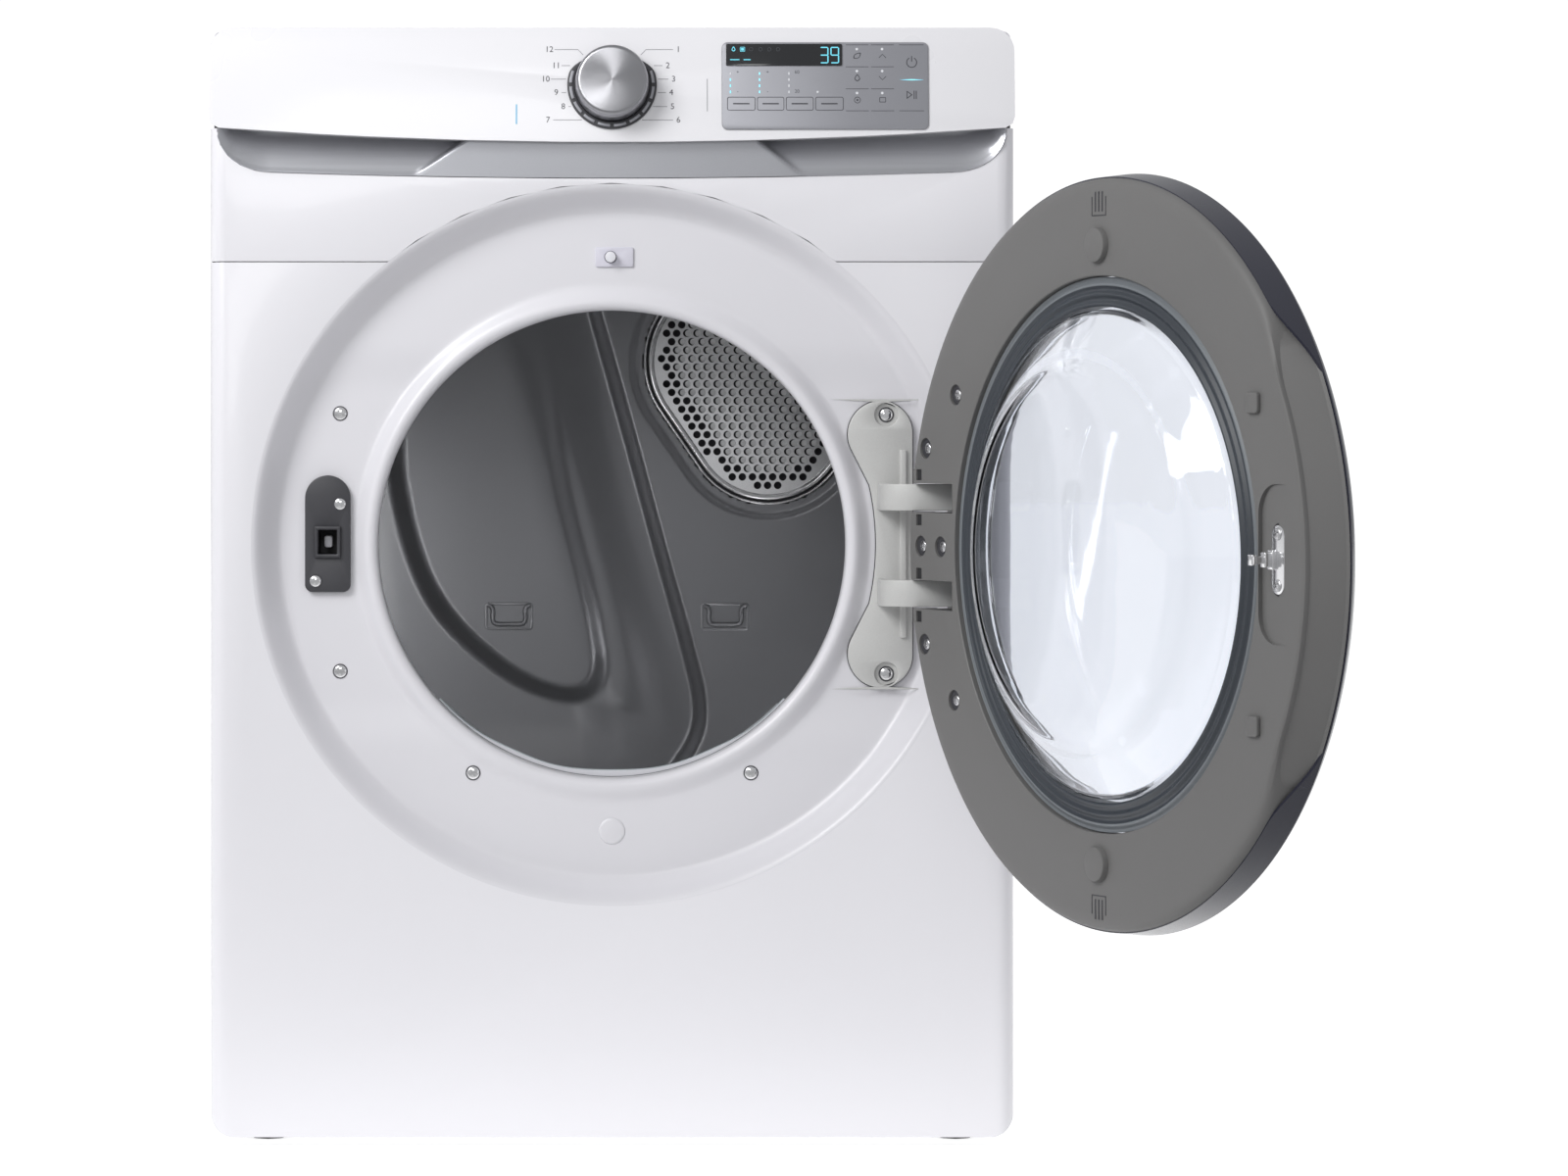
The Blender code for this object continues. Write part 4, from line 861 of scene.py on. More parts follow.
def build_knob():
    matrix = on_panel(0, KNOB_Z)
    profile = [(0.0, 0.0276)]
    profile += [(0.0268, 0.0274), (0.0282, 0.0270), (0.0294, 0.0262), (0.0301, 0.0250), (0.0305, 0.0236)]
    profile += [(0.0312, 0.0140), (0.0318, 0.0062), (0.0312, 0.0054), (0.0290, 0.0054), (0.0, 0.0054)]
    cap = lathe("selector_cap", profile, SPUN, Matrix.Identity(4), 160, 40)
    cap.matrix_world = matrix
    mount(cap, "selector_knob", "spun_aluminium", "selector_knob")

    start, end = -228, 48
    outer, inner = [], []
    for k in range(97):
        angle = start + (end - start) * k / 96
        swell = smooth(angle, start, start + 34) * (1 - smooth(angle, end - 34, end))
        across, up = math.cos(math.radians(angle)), math.sin(math.radians(angle))
        outer.append(((0.0322 + 0.0059 * swell) * across, (0.0322 + 0.0059 * swell) * up))
        inner.append((0.0316 * across, 0.0316 * up))
    bed = filled("bezel_ring", [outer + inner[::-1]], 0.0002, 0.0028, DARK, matrix, 0.0007)
    mount(bed, "cabinet", "dark_plastic", "knob_bezel")
    floor = [(0, 0.0003), (0.0316, 0.0003), (0.0316, 0.0016), (0, 0.0016)]
    mount(lathe("bezel_floor", floor, DISPLAY, matrix, 96), "cabinet", "dark_plastic")
    segments = []
    for number in range(16):
        middle = 22.5 * number + 11.25
        if 30 < middle < 150:
            continue
        outline = arc(0, 0, 0.0363, middle - 8.6, middle + 8.6, 6)
        outline += arc(0, 0, 0.0339, middle + 8.6, middle - 8.6, 6)
        segments.append(outline)
    ring = filled("bezel_segments", segments, 0.0022, 0.0036, PLATE_SILVER, matrix, 0.0003)
    mount(ring, "cabinet", "dark_plastic")


SEGMENT_ENDS = {
    "top": ((0, 2), (1, 2)),
    "high_left": ((0, 1), (0, 2)),
    "high_right": ((1, 1), (1, 2)),
    "middle": ((0, 1), (1, 1)),
    "low_left": ((0, 0), (0, 1)),
    "low_right": ((1, 0), (1, 1)),
    "bottom": ((0, 0), (1, 0)),
}
DIGIT_SEGMENTS = {
    "3": ("top", "high_right", "middle", "low_right", "bottom"),
    "9": ("top", "high_left", "high_right", "middle", "low_right", "bottom"),
}


def digit_outlines(digit, left, bottom, width, height):
    """The lit segments of one seven-segment digit, each a bar with pointed ends."""
    half = width * 0.075
    gap = half * 1.15
    bars = []
    for name in DIGIT_SEGMENTS[digit]:
        (a0, b0), (a1, b1) = SEGMENT_ENDS[name]
        start = Vector((left + a0 * width, bottom + b0 * height / 2))
        end = Vector((left + a1 * width, bottom + b1 * height / 2))
        along = (end - start).normalized()
        start, end = start + along * gap, end - along * gap
        across = Vector((-along.y, along.x)) * half
        bar = [start - along * half, start + across, end + across]
        bar += [end + along * half, end - across, start - across]
        bars.append([tuple(p) for p in bar])
    return bars


def ring_outline(x, z, radius, width, steps=28):
    return [circle(x, z, radius, steps), circle(x, z, radius - width, steps)]


def frame_outline(low_a, low_b, high_a, high_b, radius, width):
    outer = rounded_box(low_a, low_b, high_a, high_b, radius)
    inner = rounded_box(low_a + width, low_b + width, high_a - width, high_b - width, radius - width)
    return [outer, inner]


def build_control_plate():
    """The touch plate: a rounded outline, with its keys, signs and lights on its face."""
    centre_z = 0.8960
    origin = on_panel(0, centre_z)
    outline = rounded_box(0.094, 0.8585 - centre_z, 0.269, 0.933 - centre_z, 0.0045)
    plate = filled("plate_face", [outline], 0.0003, 0.0014, PLATE_SILVER, origin, 0.00025)
    mount(plate, "cabinet", "control_silver", "control_plate")
    rim = frame_outline(0.0934, 0.8579 - centre_z, 0.2696, 0.9336 - centre_z, 0.0051, 0.0007)
    mount(filled("plate_rim", rim, 0.0, 0.0009, PRINT_GREY, origin), "cabinet", "control_silver")

    window = rounded_box(0.097, 0.913 - centre_z, 0.196, 0.932 - centre_z, 0.0014)
    glass = filled("display_face", [window], 0.0014, 0.0023, DISPLAY, origin, 0.0002)
    mount(glass, "cabinet", "display_black", "display_window")

    lit, top = 0.0023, 0.00245
    digits = digit_outlines("3", 0.1775, 0.9155 - centre_z, 0.0064, 0.0133)
    digits += digit_outlines("9", 0.1865, 0.9155 - centre_z, 0.0064, 0.0133)
    mount(filled("display_digits", digits, lit, top, DIGIT_BLUE, origin), "cabinet", "display_black")

    row = 0.9272 - centre_z
    corners = [(0.1035, row - 0.0018), (0.1019, row - 0.0004), (0.1035, row + 0.0024), (0.1051, row - 0.0004)]
    drop = flowing(corners)
    icons = [drop, [(0.1035 + (a - 0.1035) * 0.6, row + (b - row) * 0.6) for a, b in drop]]
    icons += frame_outline(0.1090, row - 0.0020, 0.1132, row + 0.0020, 0.0006, 0.0004)
    icons.append(rounded_box(0.1099, row - 0.0011, 0.1123, row + 0.0011, 0.0003, 2))
    bars_z = 0.9182 - centre_z
    for start, end in ((0.1005, 0.1085), (0.1120, 0.1180)):
        icons.append(rounded_box(start, bars_z - 0.0004, end, bars_z + 0.0004, 0.0003, 2))
    mount(filled("display_icons", icons, lit, top, DIGIT_BLUE, origin), "cabinet", "display_black")
    dim = []
    for x in (0.1185, 0.1265, 0.1340, 0.1415):
        dim += ring_outline(x, row, 0.0017, 0.0004, 16)
    mount(filled("display_icons_dim", dim, lit, top, ICON_DIM, origin), "cabinet", "display_black")

    base, face = 0.0014, 0.00155
    pads = []
    for start, end in ((0.098, 0.122), (0.1235, 0.1465), (0.148, 0.1715), (0.173, 0.197)):
        pads += frame_outline(start, 0.8745 - centre_z, end, 0.8862 - centre_z, 0.0018, 0.0005)
        middle = (start + end) / 2
        low, high = 0.8798 - centre_z, 0.8809 - centre_z
        pads.append(rounded_box(middle - 0.0070, low, middle + 0.0070, high, 0.0003, 2))
    for column in (0.199, 0.2205):
        for level in (0.9380 - 0.007, 0.9190 - 0.007, 0.9000 - 0.007, 0.8810 - 0.007):
            low = level - centre_z
            pads.append(rounded_box(column, low, column + 0.0195, low + 0.0004, 0.0001, 2))
            if level > 0.880:
                x = column + 0.0098
                pads += key_sign(x, level - centre_z - 0.0095, column, level)
    for level in (0.931, 0.874):
        pads.append(rounded_box(0.2445, level - centre_z, 0.2655, level - centre_z + 0.0004, 0.0001, 2))
    signs = []
    for x, top_value, low_value in ((0.1010, "+", "-"), (0.1265, "+", "-"), (0.1515, "60", "20")):
        for value, level in ((top_value, 0.9075), (low_value, 0.8910)):
            place = on_panel(x + 0.0060, level, 0.0014)
            signs.append(letters("sign", value, 0.0042, PRINT_DARK, place))
    mount(gather("light_signs", signs), "cabinet", "control_silver")
    mount(filled("plate_printing", pads, base, face, PRINT_DARK, origin), "cabinet", "control_silver")
    power_signs(centre_z, origin)
    light_columns(centre_z, origin)
    dots = []
    for x in (0.108, 0.1335, 0.1585, 0.184, 0.2750):
        bead = lathe(
            f"touch_dot_{round(x * 1e4)}", [(0, -0.0002), (0.0006, -0.0002), (0.0004, 0.0003), (0, 0.0004)],
            WHITE_PLASTIC, on_panel(x, 0.8555 if x < 0.27 else 0.916, 0.0), 12, 60,
        )
        dots.append(bead)
    mount(gather("touch_dots", dots), "cabinet", "white_plastic")


def key_sign(x, z, column, level):
    """A plain sign for each of the six small keys."""
    width = 0.0005
    if column < 0.21:
        if level > 0.925:
            corners = [(x - 0.003, z - 0.002), (x - 0.002, z + 0.0015)]
            corners += [(x + 0.003, z + 0.0028), (x + 0.0015, z - 0.0015)]
            leaf = flowing(corners)
            inner = [(x + (a - x) * 0.75, z + (b - z) * 0.75) for a, b in leaf]
            return [leaf, inner]
        if level > 0.905:
            corners = [(x, z - 0.0028), (x - 0.0024, z - 0.0006), (x, z + 0.0032), (x + 0.0024, z - 0.0006)]
            drop = flowing(corners)
            return [drop, [(x + (a - x) * 0.7, z + (b - z) * 0.7) for a, b in drop]]
        return ring_outline(x, z, 0.0028, width) + [circle(x, z, 0.0009, 14)]
    if level > 0.925:
        return [stroke([(x - 0.0030, z - 0.0015), (x, z + 0.0015), (x + 0.0030, z - 0.0015)], width)]
    if level > 0.905:
        return [stroke([(x - 0.0030, z + 0.0015), (x, z - 0.0015), (x + 0.0030, z + 0.0015)], width)]
    return frame_outline(x - 0.0028, z - 0.0020, x + 0.0028, z + 0.0024, 0.0006, width)


def power_signs(centre_z, origin):
    """The standard power sign and the start and pause sign."""
    base, face = 0.0014, 0.00155
    x, z = 0.2552, 0.9160 - centre_z
    gap = 28
    outer = arc(x, z, 0.0046, 90 + gap, 450 - gap, 32)
    inner = arc(x, z, 0.0039, 450 - gap, 90 + gap, 32)
    signs = [outer + inner, rounded_box(x - 0.00035, z + 0.0006, x + 0.00035, z + 0.0056, 0.0003, 3)]
    z = 0.8880 - centre_z
    triangle = [(x - 0.0044, z - 0.0036), (x + 0.0006, z), (x - 0.0044, z + 0.0036)]
    hole = [(x - 0.0038, z - 0.0024), (x - 0.0006, z), (x - 0.0038, z + 0.0024)]
    signs += [triangle, hole]
    for start in (0.0016, 0.0034):
        signs.append(rounded_box(x + start, z - 0.0036, x + start + 0.0007, z + 0.0036, 0.0002, 2))
    mount(filled("power_signs", signs, base, face, PRINT_DARK, origin), "cabinet", "control_silver")


def light_columns(centre_z, origin):
    base, face = 0.0014, 0.0016
    lit, off = [], []
    for x, count in ((0.1008, 3), (0.1256, 4), (0.1506, 0)):
        for step in range(4):
            z = 0.8905 + 0.0053 * step - centre_z
            mark = rounded_box(x - 0.0005, z - 0.0011, x + 0.0005, z + 0.0011, 0.0003, 2)
            (lit if step < count else off).append(mark)
    off.append(circle(0.1750, 0.8905 - centre_z, 0.0009, 14))
    for column in (0.2085, 0.2300):
        for level in (0.9275, 0.9085, 0.8895):
            off.append(circle(column, level - centre_z, 0.0011, 14))
    mount(filled("lights_lit", lit, base, face, LED_BLUE, origin), "cabinet", "control_silver")
    mount(filled("lights_off", off, base, face, LED_OFF, origin), "cabinet", "control_silver")
    z = 0.9010 - centre_z
    line = [(0.2450, z), (0.2552, z + 0.00045), (0.2655, z), (0.2552, z - 0.00045)]
    mount(filled("light_line", [line], base, face, LED_BLUE, origin), "cabinet", "control_silver")


def build_control_panel():
    carry("control_panel", WHITE_PLASTIC, 0.0040, 6, 35, 40)
    build_leader_lines()
    build_knob()
    build_control_plate()


# ---------------------------------------------------------------- latch and door switch


def build_latch():
    """The latch's cover, round at the top, with a framed socket and the plunger inside it."""
    place = facing(LATCH_X, LATCH_Z)
    low, corner = 0.464 - LATCH_Z, 0.0065
    outline = arc(0, 0.5445 - LATCH_Z, 0.0195, 0, 180, 28)
    outline += arc(-0.0195 + corner, low + corner, corner, 180, 270, 8)
    outline += arc(0.0195 - corner, low + corner, corner, 270, 360, 8)
    socket = rounded_box(-0.0080, -0.0104, 0.0080, 0.0104, 0.0008, 2)
    plate = filled("latch_cover", [outline, socket], -0.0256, -0.0207, DARK, place, 0.0011)
    rim = [rounded_box(-0.0112, -0.0137, 0.0112, 0.0137, 0.0012, 3), socket]
    frame_part = filled("latch_frame", rim, -0.0590, -0.0172, DARK, place, 0.0016)
    floor = block("latch_floor", (-0.0100, -0.0120, -0.0595), (0.0100, 0.0120, -0.0580), DARK, place)
    mount(gather("latch_housing", [plate, frame_part, floor]), "cabinet", "dark_plastic", "latch_receptacle")
    tongue = [rounded_box(-0.0036, -0.0052, 0.0036, 0.0052, 0.0022, 5)]
    plunger = filled("plunger_tip", tongue, -0.0450, -0.0325, PALE, place, 0.0018)
    mount(plunger, "latch_plunger", "pale_plastic", "latch_plunger")
    for number, (x, z) in enumerate(((-0.2330, 0.5395), (-0.2540, 0.4735))):
        sunk_screw("latch", number, 0.0050, 0.0058, facing(x, z, -0.0207))


def build_switch():
    carry("door_switch", LILAC, 0.0005)
    carry("door_switch_button", PALE, 0.0005)


# ---------------------------------------------------------------- drum, rear wall and grille

LEFT_PLATEAU = (
    (-0.078, 0.740),
    (-0.165, 0.715),
    (-0.2080, 0.610),
    (-0.2030, 0.520),
    (-0.1700, 0.432),
    (-0.1050, 0.368),
    (-0.0440, 0.343),
    (-0.0120, 0.362),
    (-0.0180, 0.430),
    (-0.0480, 0.555),
)
RIDGE = (
    (-0.0300, 0.760),
    (-0.0140, 0.705),
    (0.0160, 0.598),
    (0.0460, 0.487),
    (0.0740, 0.386),
    (0.0850, 0.335),
    (0.0800, 0.300),
    (0.0560, 0.262),
)


def distance_inside(points, outline):
    """Signed distance from each point to a closed outline, positive inside."""
    best = np.full(len(points), 1e9)
    inside = np.zeros(len(points), bool)
    for start, end in zip(outline, outline[1:] + outline[:1]):
        a, b = np.array(start), np.array(end)
        run = b - a
        t = np.clip(((points - a) @ run) / (run @ run + 1e-12), 0, 1)
        best = np.minimum(best, np.linalg.norm(points - (a + t[:, None] * run), axis=1))
        crosses = (a[1] > points[:, 1]) != (b[1] > points[:, 1])
        with np.errstate(divide="ignore", invalid="ignore"):
            at = (b[0] - a[0]) * (points[:, 1] - a[1]) / (b[1] - a[1]) + a[0]
        inside ^= crosses & (points[:, 0] < at)
    return np.where(inside, best, -best)


def ease(values, start, end):
    t = np.clip((values - start) / (end - start), 0, 1)
    return t * t * (3 - 2 * t)


def grille_outline(grow, steps=120):
    """The line drawn tight round three circles: a soft pear shape that keeps clear of the drum's edge."""
    circles = ((0.116, 0.667, 0.084), (0.151, 0.609, 0.080), (0.160, 0.676, 0.055))
    points = []
    for k in range(steps):
        angle = math.tau * k / steps
        across, up = math.cos(angle), math.sin(angle)
        x, z, radius = max(circles, key=lambda c: c[0] * across + c[1] * up + c[2])
        points.append((x + (radius + grow) * across, z + (radius + grow) * up))
    return points


def rear_relief(points):
    """How far the rear wall's pressed shapes stand forward of its plane."""
    left = distance_inside(points, flowing(LEFT_PLATEAU, 6))
    ridge = flowing(RIDGE, 6, closed=False)
    right = distance_inside(points, ridge + [(0.0, 0.20), (0.40, 0.20), (0.40, 0.90), (-0.03, 0.90)])
    towards_ridge = ease(-right, 0.0, 0.120)
    falling = 0.0200 * towards_ridge
    edge = ease(left, -0.010, 0.010)
    valley_side = ease(points[:, 0] - 0.28 * (0.5 - points[:, 1]), -0.090, -0.010)
    plateau = 0.0200 * edge * (1 - valley_side) + falling * valley_side * ease(left, -0.150, -0.020)
    raised = 0.0270 * ease(right, -0.007, 0.007)
    pan = distance_inside(points, grille_outline(0.0125))
    raised = raised - 0.0030 * ease(pan, -0.0015, 0.0015)
    rim = 1 - ease(np.linalg.norm(points - np.array((0, OPENING_Z)), axis=1), 0.290, 0.302)
    return np.maximum(plateau, raised) * rim


def build_rear_wall():
    count = 220
    half = 0.306
    line = np.linspace(-half, half, count)
    grid_x, grid_z = np.meshgrid(line, line + OPENING_Z, indexing="ij")
    points = np.stack([grid_x.ravel(), grid_z.ravel()], axis=1)
    away = np.linalg.norm(points - np.array((0, OPENING_Z)), axis=1)
    relief = rear_relief(points)
    opening = distance_inside(points, grille_outline(0.0))
    keep = (away < 0.3065) & (opening < 0.0)
    vertices = np.stack([points[:, 0], REAR_WALL_Y - relief, points[:, 1]], axis=1)
    faces = []
    for i in range(count - 1):
        for j in range(count - 1):
            corners = [i * count + j, (i + 1) * count + j, (i + 1) * count + j + 1, i * count + j + 1]
            if all(keep[c] for c in corners):
                faces.append(corners)
    used = sorted({c for face in faces for c in face})
    index = {c: k for k, c in enumerate(used)}
    faces = [[index[c] for c in face] for face in faces]
    wall = add_mesh("rear_wall_pressing", vertices[used].tolist(), faces, DRUM_GREY, None, 80)
    thickness = wall.modifiers.new("sheet", "SOLIDIFY")
    thickness.thickness = 0.0010
    thickness.offset = -1.0 if wall.data.polygons[0].normal.y < 0 else 1.0
    bake_modifiers(wall, 80)
    mount(wall, "cabinet", "drum_grey", "rear_bulkhead")
    square = rounded_box(-0.338, 0.150 - OPENING_Z, 0.338, 0.838 - OPENING_Z, 0.03)
    outlines = [square, circle(0, 0, 0.3060, 128)]
    plate = filled("rear_wall_plate", outlines, -0.6504, -0.6494, DRUM_GREY, facing(0, OPENING_Z))
    mount(plate, "cabinet", "drum_grey")
    collar = [(0.3080, -0.6500), (0.3090, -0.6500), (0.3090, -0.6120), (0.3080, -0.6120)]
    mount(lathe("rear_wall_collar", collar, DRUM_GREY, facing(0, OPENING_Z), 144), "cabinet", "drum_grey")
    for number, (x, z, level) in enumerate(((-0.100, 0.4185, 0.0198), (0.1095, 0.4185, 0.0270))):
        build_rack_hook(f"rack_hook_{number + 1}", x, z, REAR_WALL_Y - level)


def build_rack_hook(name, x, z, y):
    """A U-shaped pressed loop, on a shallow pad, that a drying rack hangs in."""
    width, high, low = 0.0160, 0.0105, -0.0065
    half = [(0.0, low), (width - 0.006, low), (width - 0.0015, low + 0.0015), (width, low + 0.006)]
    half += [(width - 0.0005, high - 0.004), (width + 0.0015, high), (width + 0.0045, high + 0.0012)]
    points = [(-a, b) for a, b in half[:0:-1]] + half
    line = flowing(points, 5, closed=False)
    bar = rod_along(name, [(x + a, y - 0.0024, z + b) for a, b in line], 0.0022, DRUM_GREY, resolution=6)
    mount(bar, "cabinet", "drum_grey")
    matrix = Matrix.Translation((x, y, z)) @ FACING
    frame_lines = frame_outline(-0.0235, -0.0125, 0.0235, 0.0145, 0.004, 0.0028)
    pad = filled(name + "_pad", frame_lines, -0.0010, 0.0009, DRUM_GREY, matrix, 0.0007)
    mount(pad, "cabinet", "drum_grey")


def build_grille():
    """The perforated inlet, in a double ring: staggered rows of holes, most with a white disc behind as
    painted light.
    """
    across, down, radius = 0.0098, 0.0082, 0.0037
    limit = grille_outline(-0.0120)
    face_y = REAR_WALL_Y - 0.0215
    places = []
    for row in range(-18, 19):
        for column in range(-16, 17):
            shift = across / 2 if row % 2 else 0.0
            places.append((0.151 + column * across + shift, 0.645 + row * down))
    inside = distance_inside(np.array(places), limit)
    holes = [place for place, room in zip(places, inside) if room > radius - 0.0010]
    outlines = [grille_outline(-0.0035)] + [circle(x, z, radius, 14) for x, z in holes]
    matrix = Matrix.Translation((0, face_y, 0)) @ FACING
    plate = filled("grille_plate", outlines, -0.0005, 0.0005, GRILLE_METAL, matrix)
    mount(plate, "cabinet", "bright_steel", "inlet_grille")
    # White discs behind the deeper holes stand for the bright space seen through them, which is painted
    # light; each is shifted right so a crescent of the dark sheet behind shows as a painted shadow.
    deep = distance_inside(np.array(holes), grille_outline(-0.0270))
    lit_discs = [circle(x + 0.0014, z, radius - 0.0006, 14) for (x, z), room in zip(holes, deep) if room > 0]
    mount(filled("grille_lit_discs", lit_discs, -0.0030, -0.0022, LIT_DISC_WHITE, matrix), "cabinet", "bright_steel")
    rings = (("grille_ring_outer", 0.0, 0.0011, 0.0035), ("grille_ring_inner", -0.0060, 0.0030, 0.0020))
    for name, grow, size, lift in rings:
        line = [(a, face_y - lift, b) for a, b in grille_outline(grow, 200)]
        mount(rod_along(name, line, size, CHROME, closed=True, resolution=6), "cabinet", "bright_steel")
    trough = [grille_outline(0.0010, 200), grille_outline(-0.0040, 200)]
    mount(filled("grille_trough", trough, -0.016, -0.001, DARK, matrix), "cabinet", "drum_grey")
    backing = [grille_outline(0.0005, 200)]
    mount(filled("grille_shadow", backing, -0.0175, -0.0165, DARK, matrix), "cabinet", "drum_grey")


def build_drum():
    profile = [(0.3172, -0.0920), (0.3180, -0.0920), (0.3180, -0.6380), (0.3172, -0.6380)]
    shell = lathe("drum_shell", profile, DRUM_STEEL, facing(0, OPENING_Z), 180)
    mount(shell, "drum", "drum_steel", "drum")
    for number in (1, 2, 3):
        carry(f"drum_lifter_{number}", LIFTER, 0.003, 4)


def build_lint_filter():
    """The filter's translucent flange along the opening's lower edge, with its wavy grip."""
    carry("lint_filter", FILTER_CLEAR, 0.0005)
    for name, inner, forward, material in (
        ("filter_lip", 0.1988, -0.0470, FILTER_CLEAR),
        ("filter_lip_edge", 0.1996, -0.0440, PALE),
    ):
        points = []
        for k in range(97):
            angle = math.radians(-90 - 48 + 96 * k / 96)
            middle = math.exp(-(((k - 48) / 30) ** 6))
            wave = 0.0032 * middle + 0.0010 * middle * math.cos((k - 48) / 48 * math.pi * 3)
            points.append(((inner - wave) * math.cos(angle), (inner - wave) * math.sin(angle)))
        outer = arc(0, 0, 0.2002, -90 + 48, -90 - 48, 96)
        lip = filled(name, [points + outer], forward - 0.0030, forward, material, facing(0, OPENING_Z))
        mount(lip, "lint_filter", "pale_plastic")


# ---------------------------------------------------------------- hinge


def bracket_outline(grow):
    """Two round lobes joined by a waist that follows the door opening."""
    lobe, corner = 0.0290, 0.0280
    left, right = 0.202 + lobe, 0.2575
    top, bottom = 0.628, 0.382
    points = arc(left, top - lobe, lobe + grow, 205, 90, 20)
    points += arc(right - corner, top - corner, corner + grow, 90, 0, 14)
    points += arc(right - corner, bottom + corner, corner + grow, 0, -90, 14)
    points += arc(left, bottom + lobe, lobe + grow, 270, 155, 20)
    points += arc(0, OPENING_Z, 0.2262 - grow, -13, 13, 24)
    return [(x, z - OPENING_Z) for x, z in points]


def hinge_arm(middle):
    """A goose neck that rises from the bracket, arches over and ends in the barrel round the pin."""
    outer = [(-0.0600, -0.0220), (-0.0600, 0.0050), (-0.0588, 0.0125), (-0.0545, 0.0205), (-0.0470, 0.0265)]
    outer += [(-0.0370, 0.0302), (-0.0260, 0.0318), (-0.0160, 0.0320)]
    barrel = arc(0, 0.026, 0.0060, 90, -90, 14)
    inner = [(-0.0160, 0.0240), (-0.0260, 0.0239), (-0.0350, 0.0225), (-0.0430, 0.0180), (-0.0485, 0.0120)]
    inner += [(-0.0512, 0.0050), (-0.0520, -0.0220)]
    outline = [(HINGE.x + a, FRONT_Y - forward) for a, forward in outer + barrel + inner]
    half = ARM_HALF - 0.0010
    arm = extruded("arm", outline, middle - half, middle + half, HINGE_PAINT, None, 30)
    soften(arm, 0.0009, 3, 40)
    return bake_modifiers(arm, 30)


def build_hinge():
    place = facing(0, OPENING_Z)
    holes = [circle(BRACKET_SCREWS_X, z - OPENING_Z, 0.0100, 40) for z in BRACKET_SCREWS_Z]
    outline = [bracket_outline(0)] + holes
    plate = filled("bracket_plate", outline, -0.0256, -0.0205, HINGE_PAINT, place, 0.0012)
    floor = filled("bracket_floor", [bracket_outline(-0.002)], -0.0256, -0.0240, HINGE_PAINT, place)
    near = (0.2465, FRONT_Y + 0.0170, 0.425)
    spine = block("spine", near, (0.2520, FRONT_Y + 0.0250, 0.586), HINGE_PAINT)
    soften(spine, 0.0010, 3)
    bake_modifiers(spine)
    arms = [hinge_arm(middle) for middle in ARM_HEIGHTS]
    bracket = gather("bracket_casting", [plate, floor, spine] + arms)
    mount(bracket, "cabinet", "hinge_paint", "hinge_bracket")
    # A dark outline a little larger than the bracket, just under it: painted shadow round the bracket's edge.
    shadow = [bracket_outline(0.0007)]
    mount(filled("bracket_shadow_outline", shadow, -0.0262, -0.0246, DARK, place), "cabinet", "dark_plastic")
    carry("hinge_pin", STEEL)
    for number, z in enumerate(BRACKET_SCREWS_Z):
        sunk_screw("hinge", number, 0.0056, 0.0066, facing(BRACKET_SCREWS_X, z, -0.0238))


# ---------------------------------------------------------------- door


def door_matrix():
    """The closed door's centre on the hinge's plane, with local X towards the free side, turned open."""
    place = Matrix.Translation((0, HINGE.y, OPENING_Z)) @ FACING
    return DOOR_TURN @ place @ Matrix.Diagonal((-1, 1, 1, 1))


def scoop_share(angle):
    """How deep the finger grip is at this angle from the free side."""
    return 1 - smooth(abs(angle), math.radians(27), math.radians(42))


def turned_faces(steps, count):
    """The faces of a closed outline of count points, carried once round in this many steps."""
    faces = []
    for k in range(steps):
        j = (k + 1) % steps
        for index in range(count):
            after = (index + 1) % count
            faces.append([k * count + index, j * count + index, j * count + after, k * count + after])
    return faces


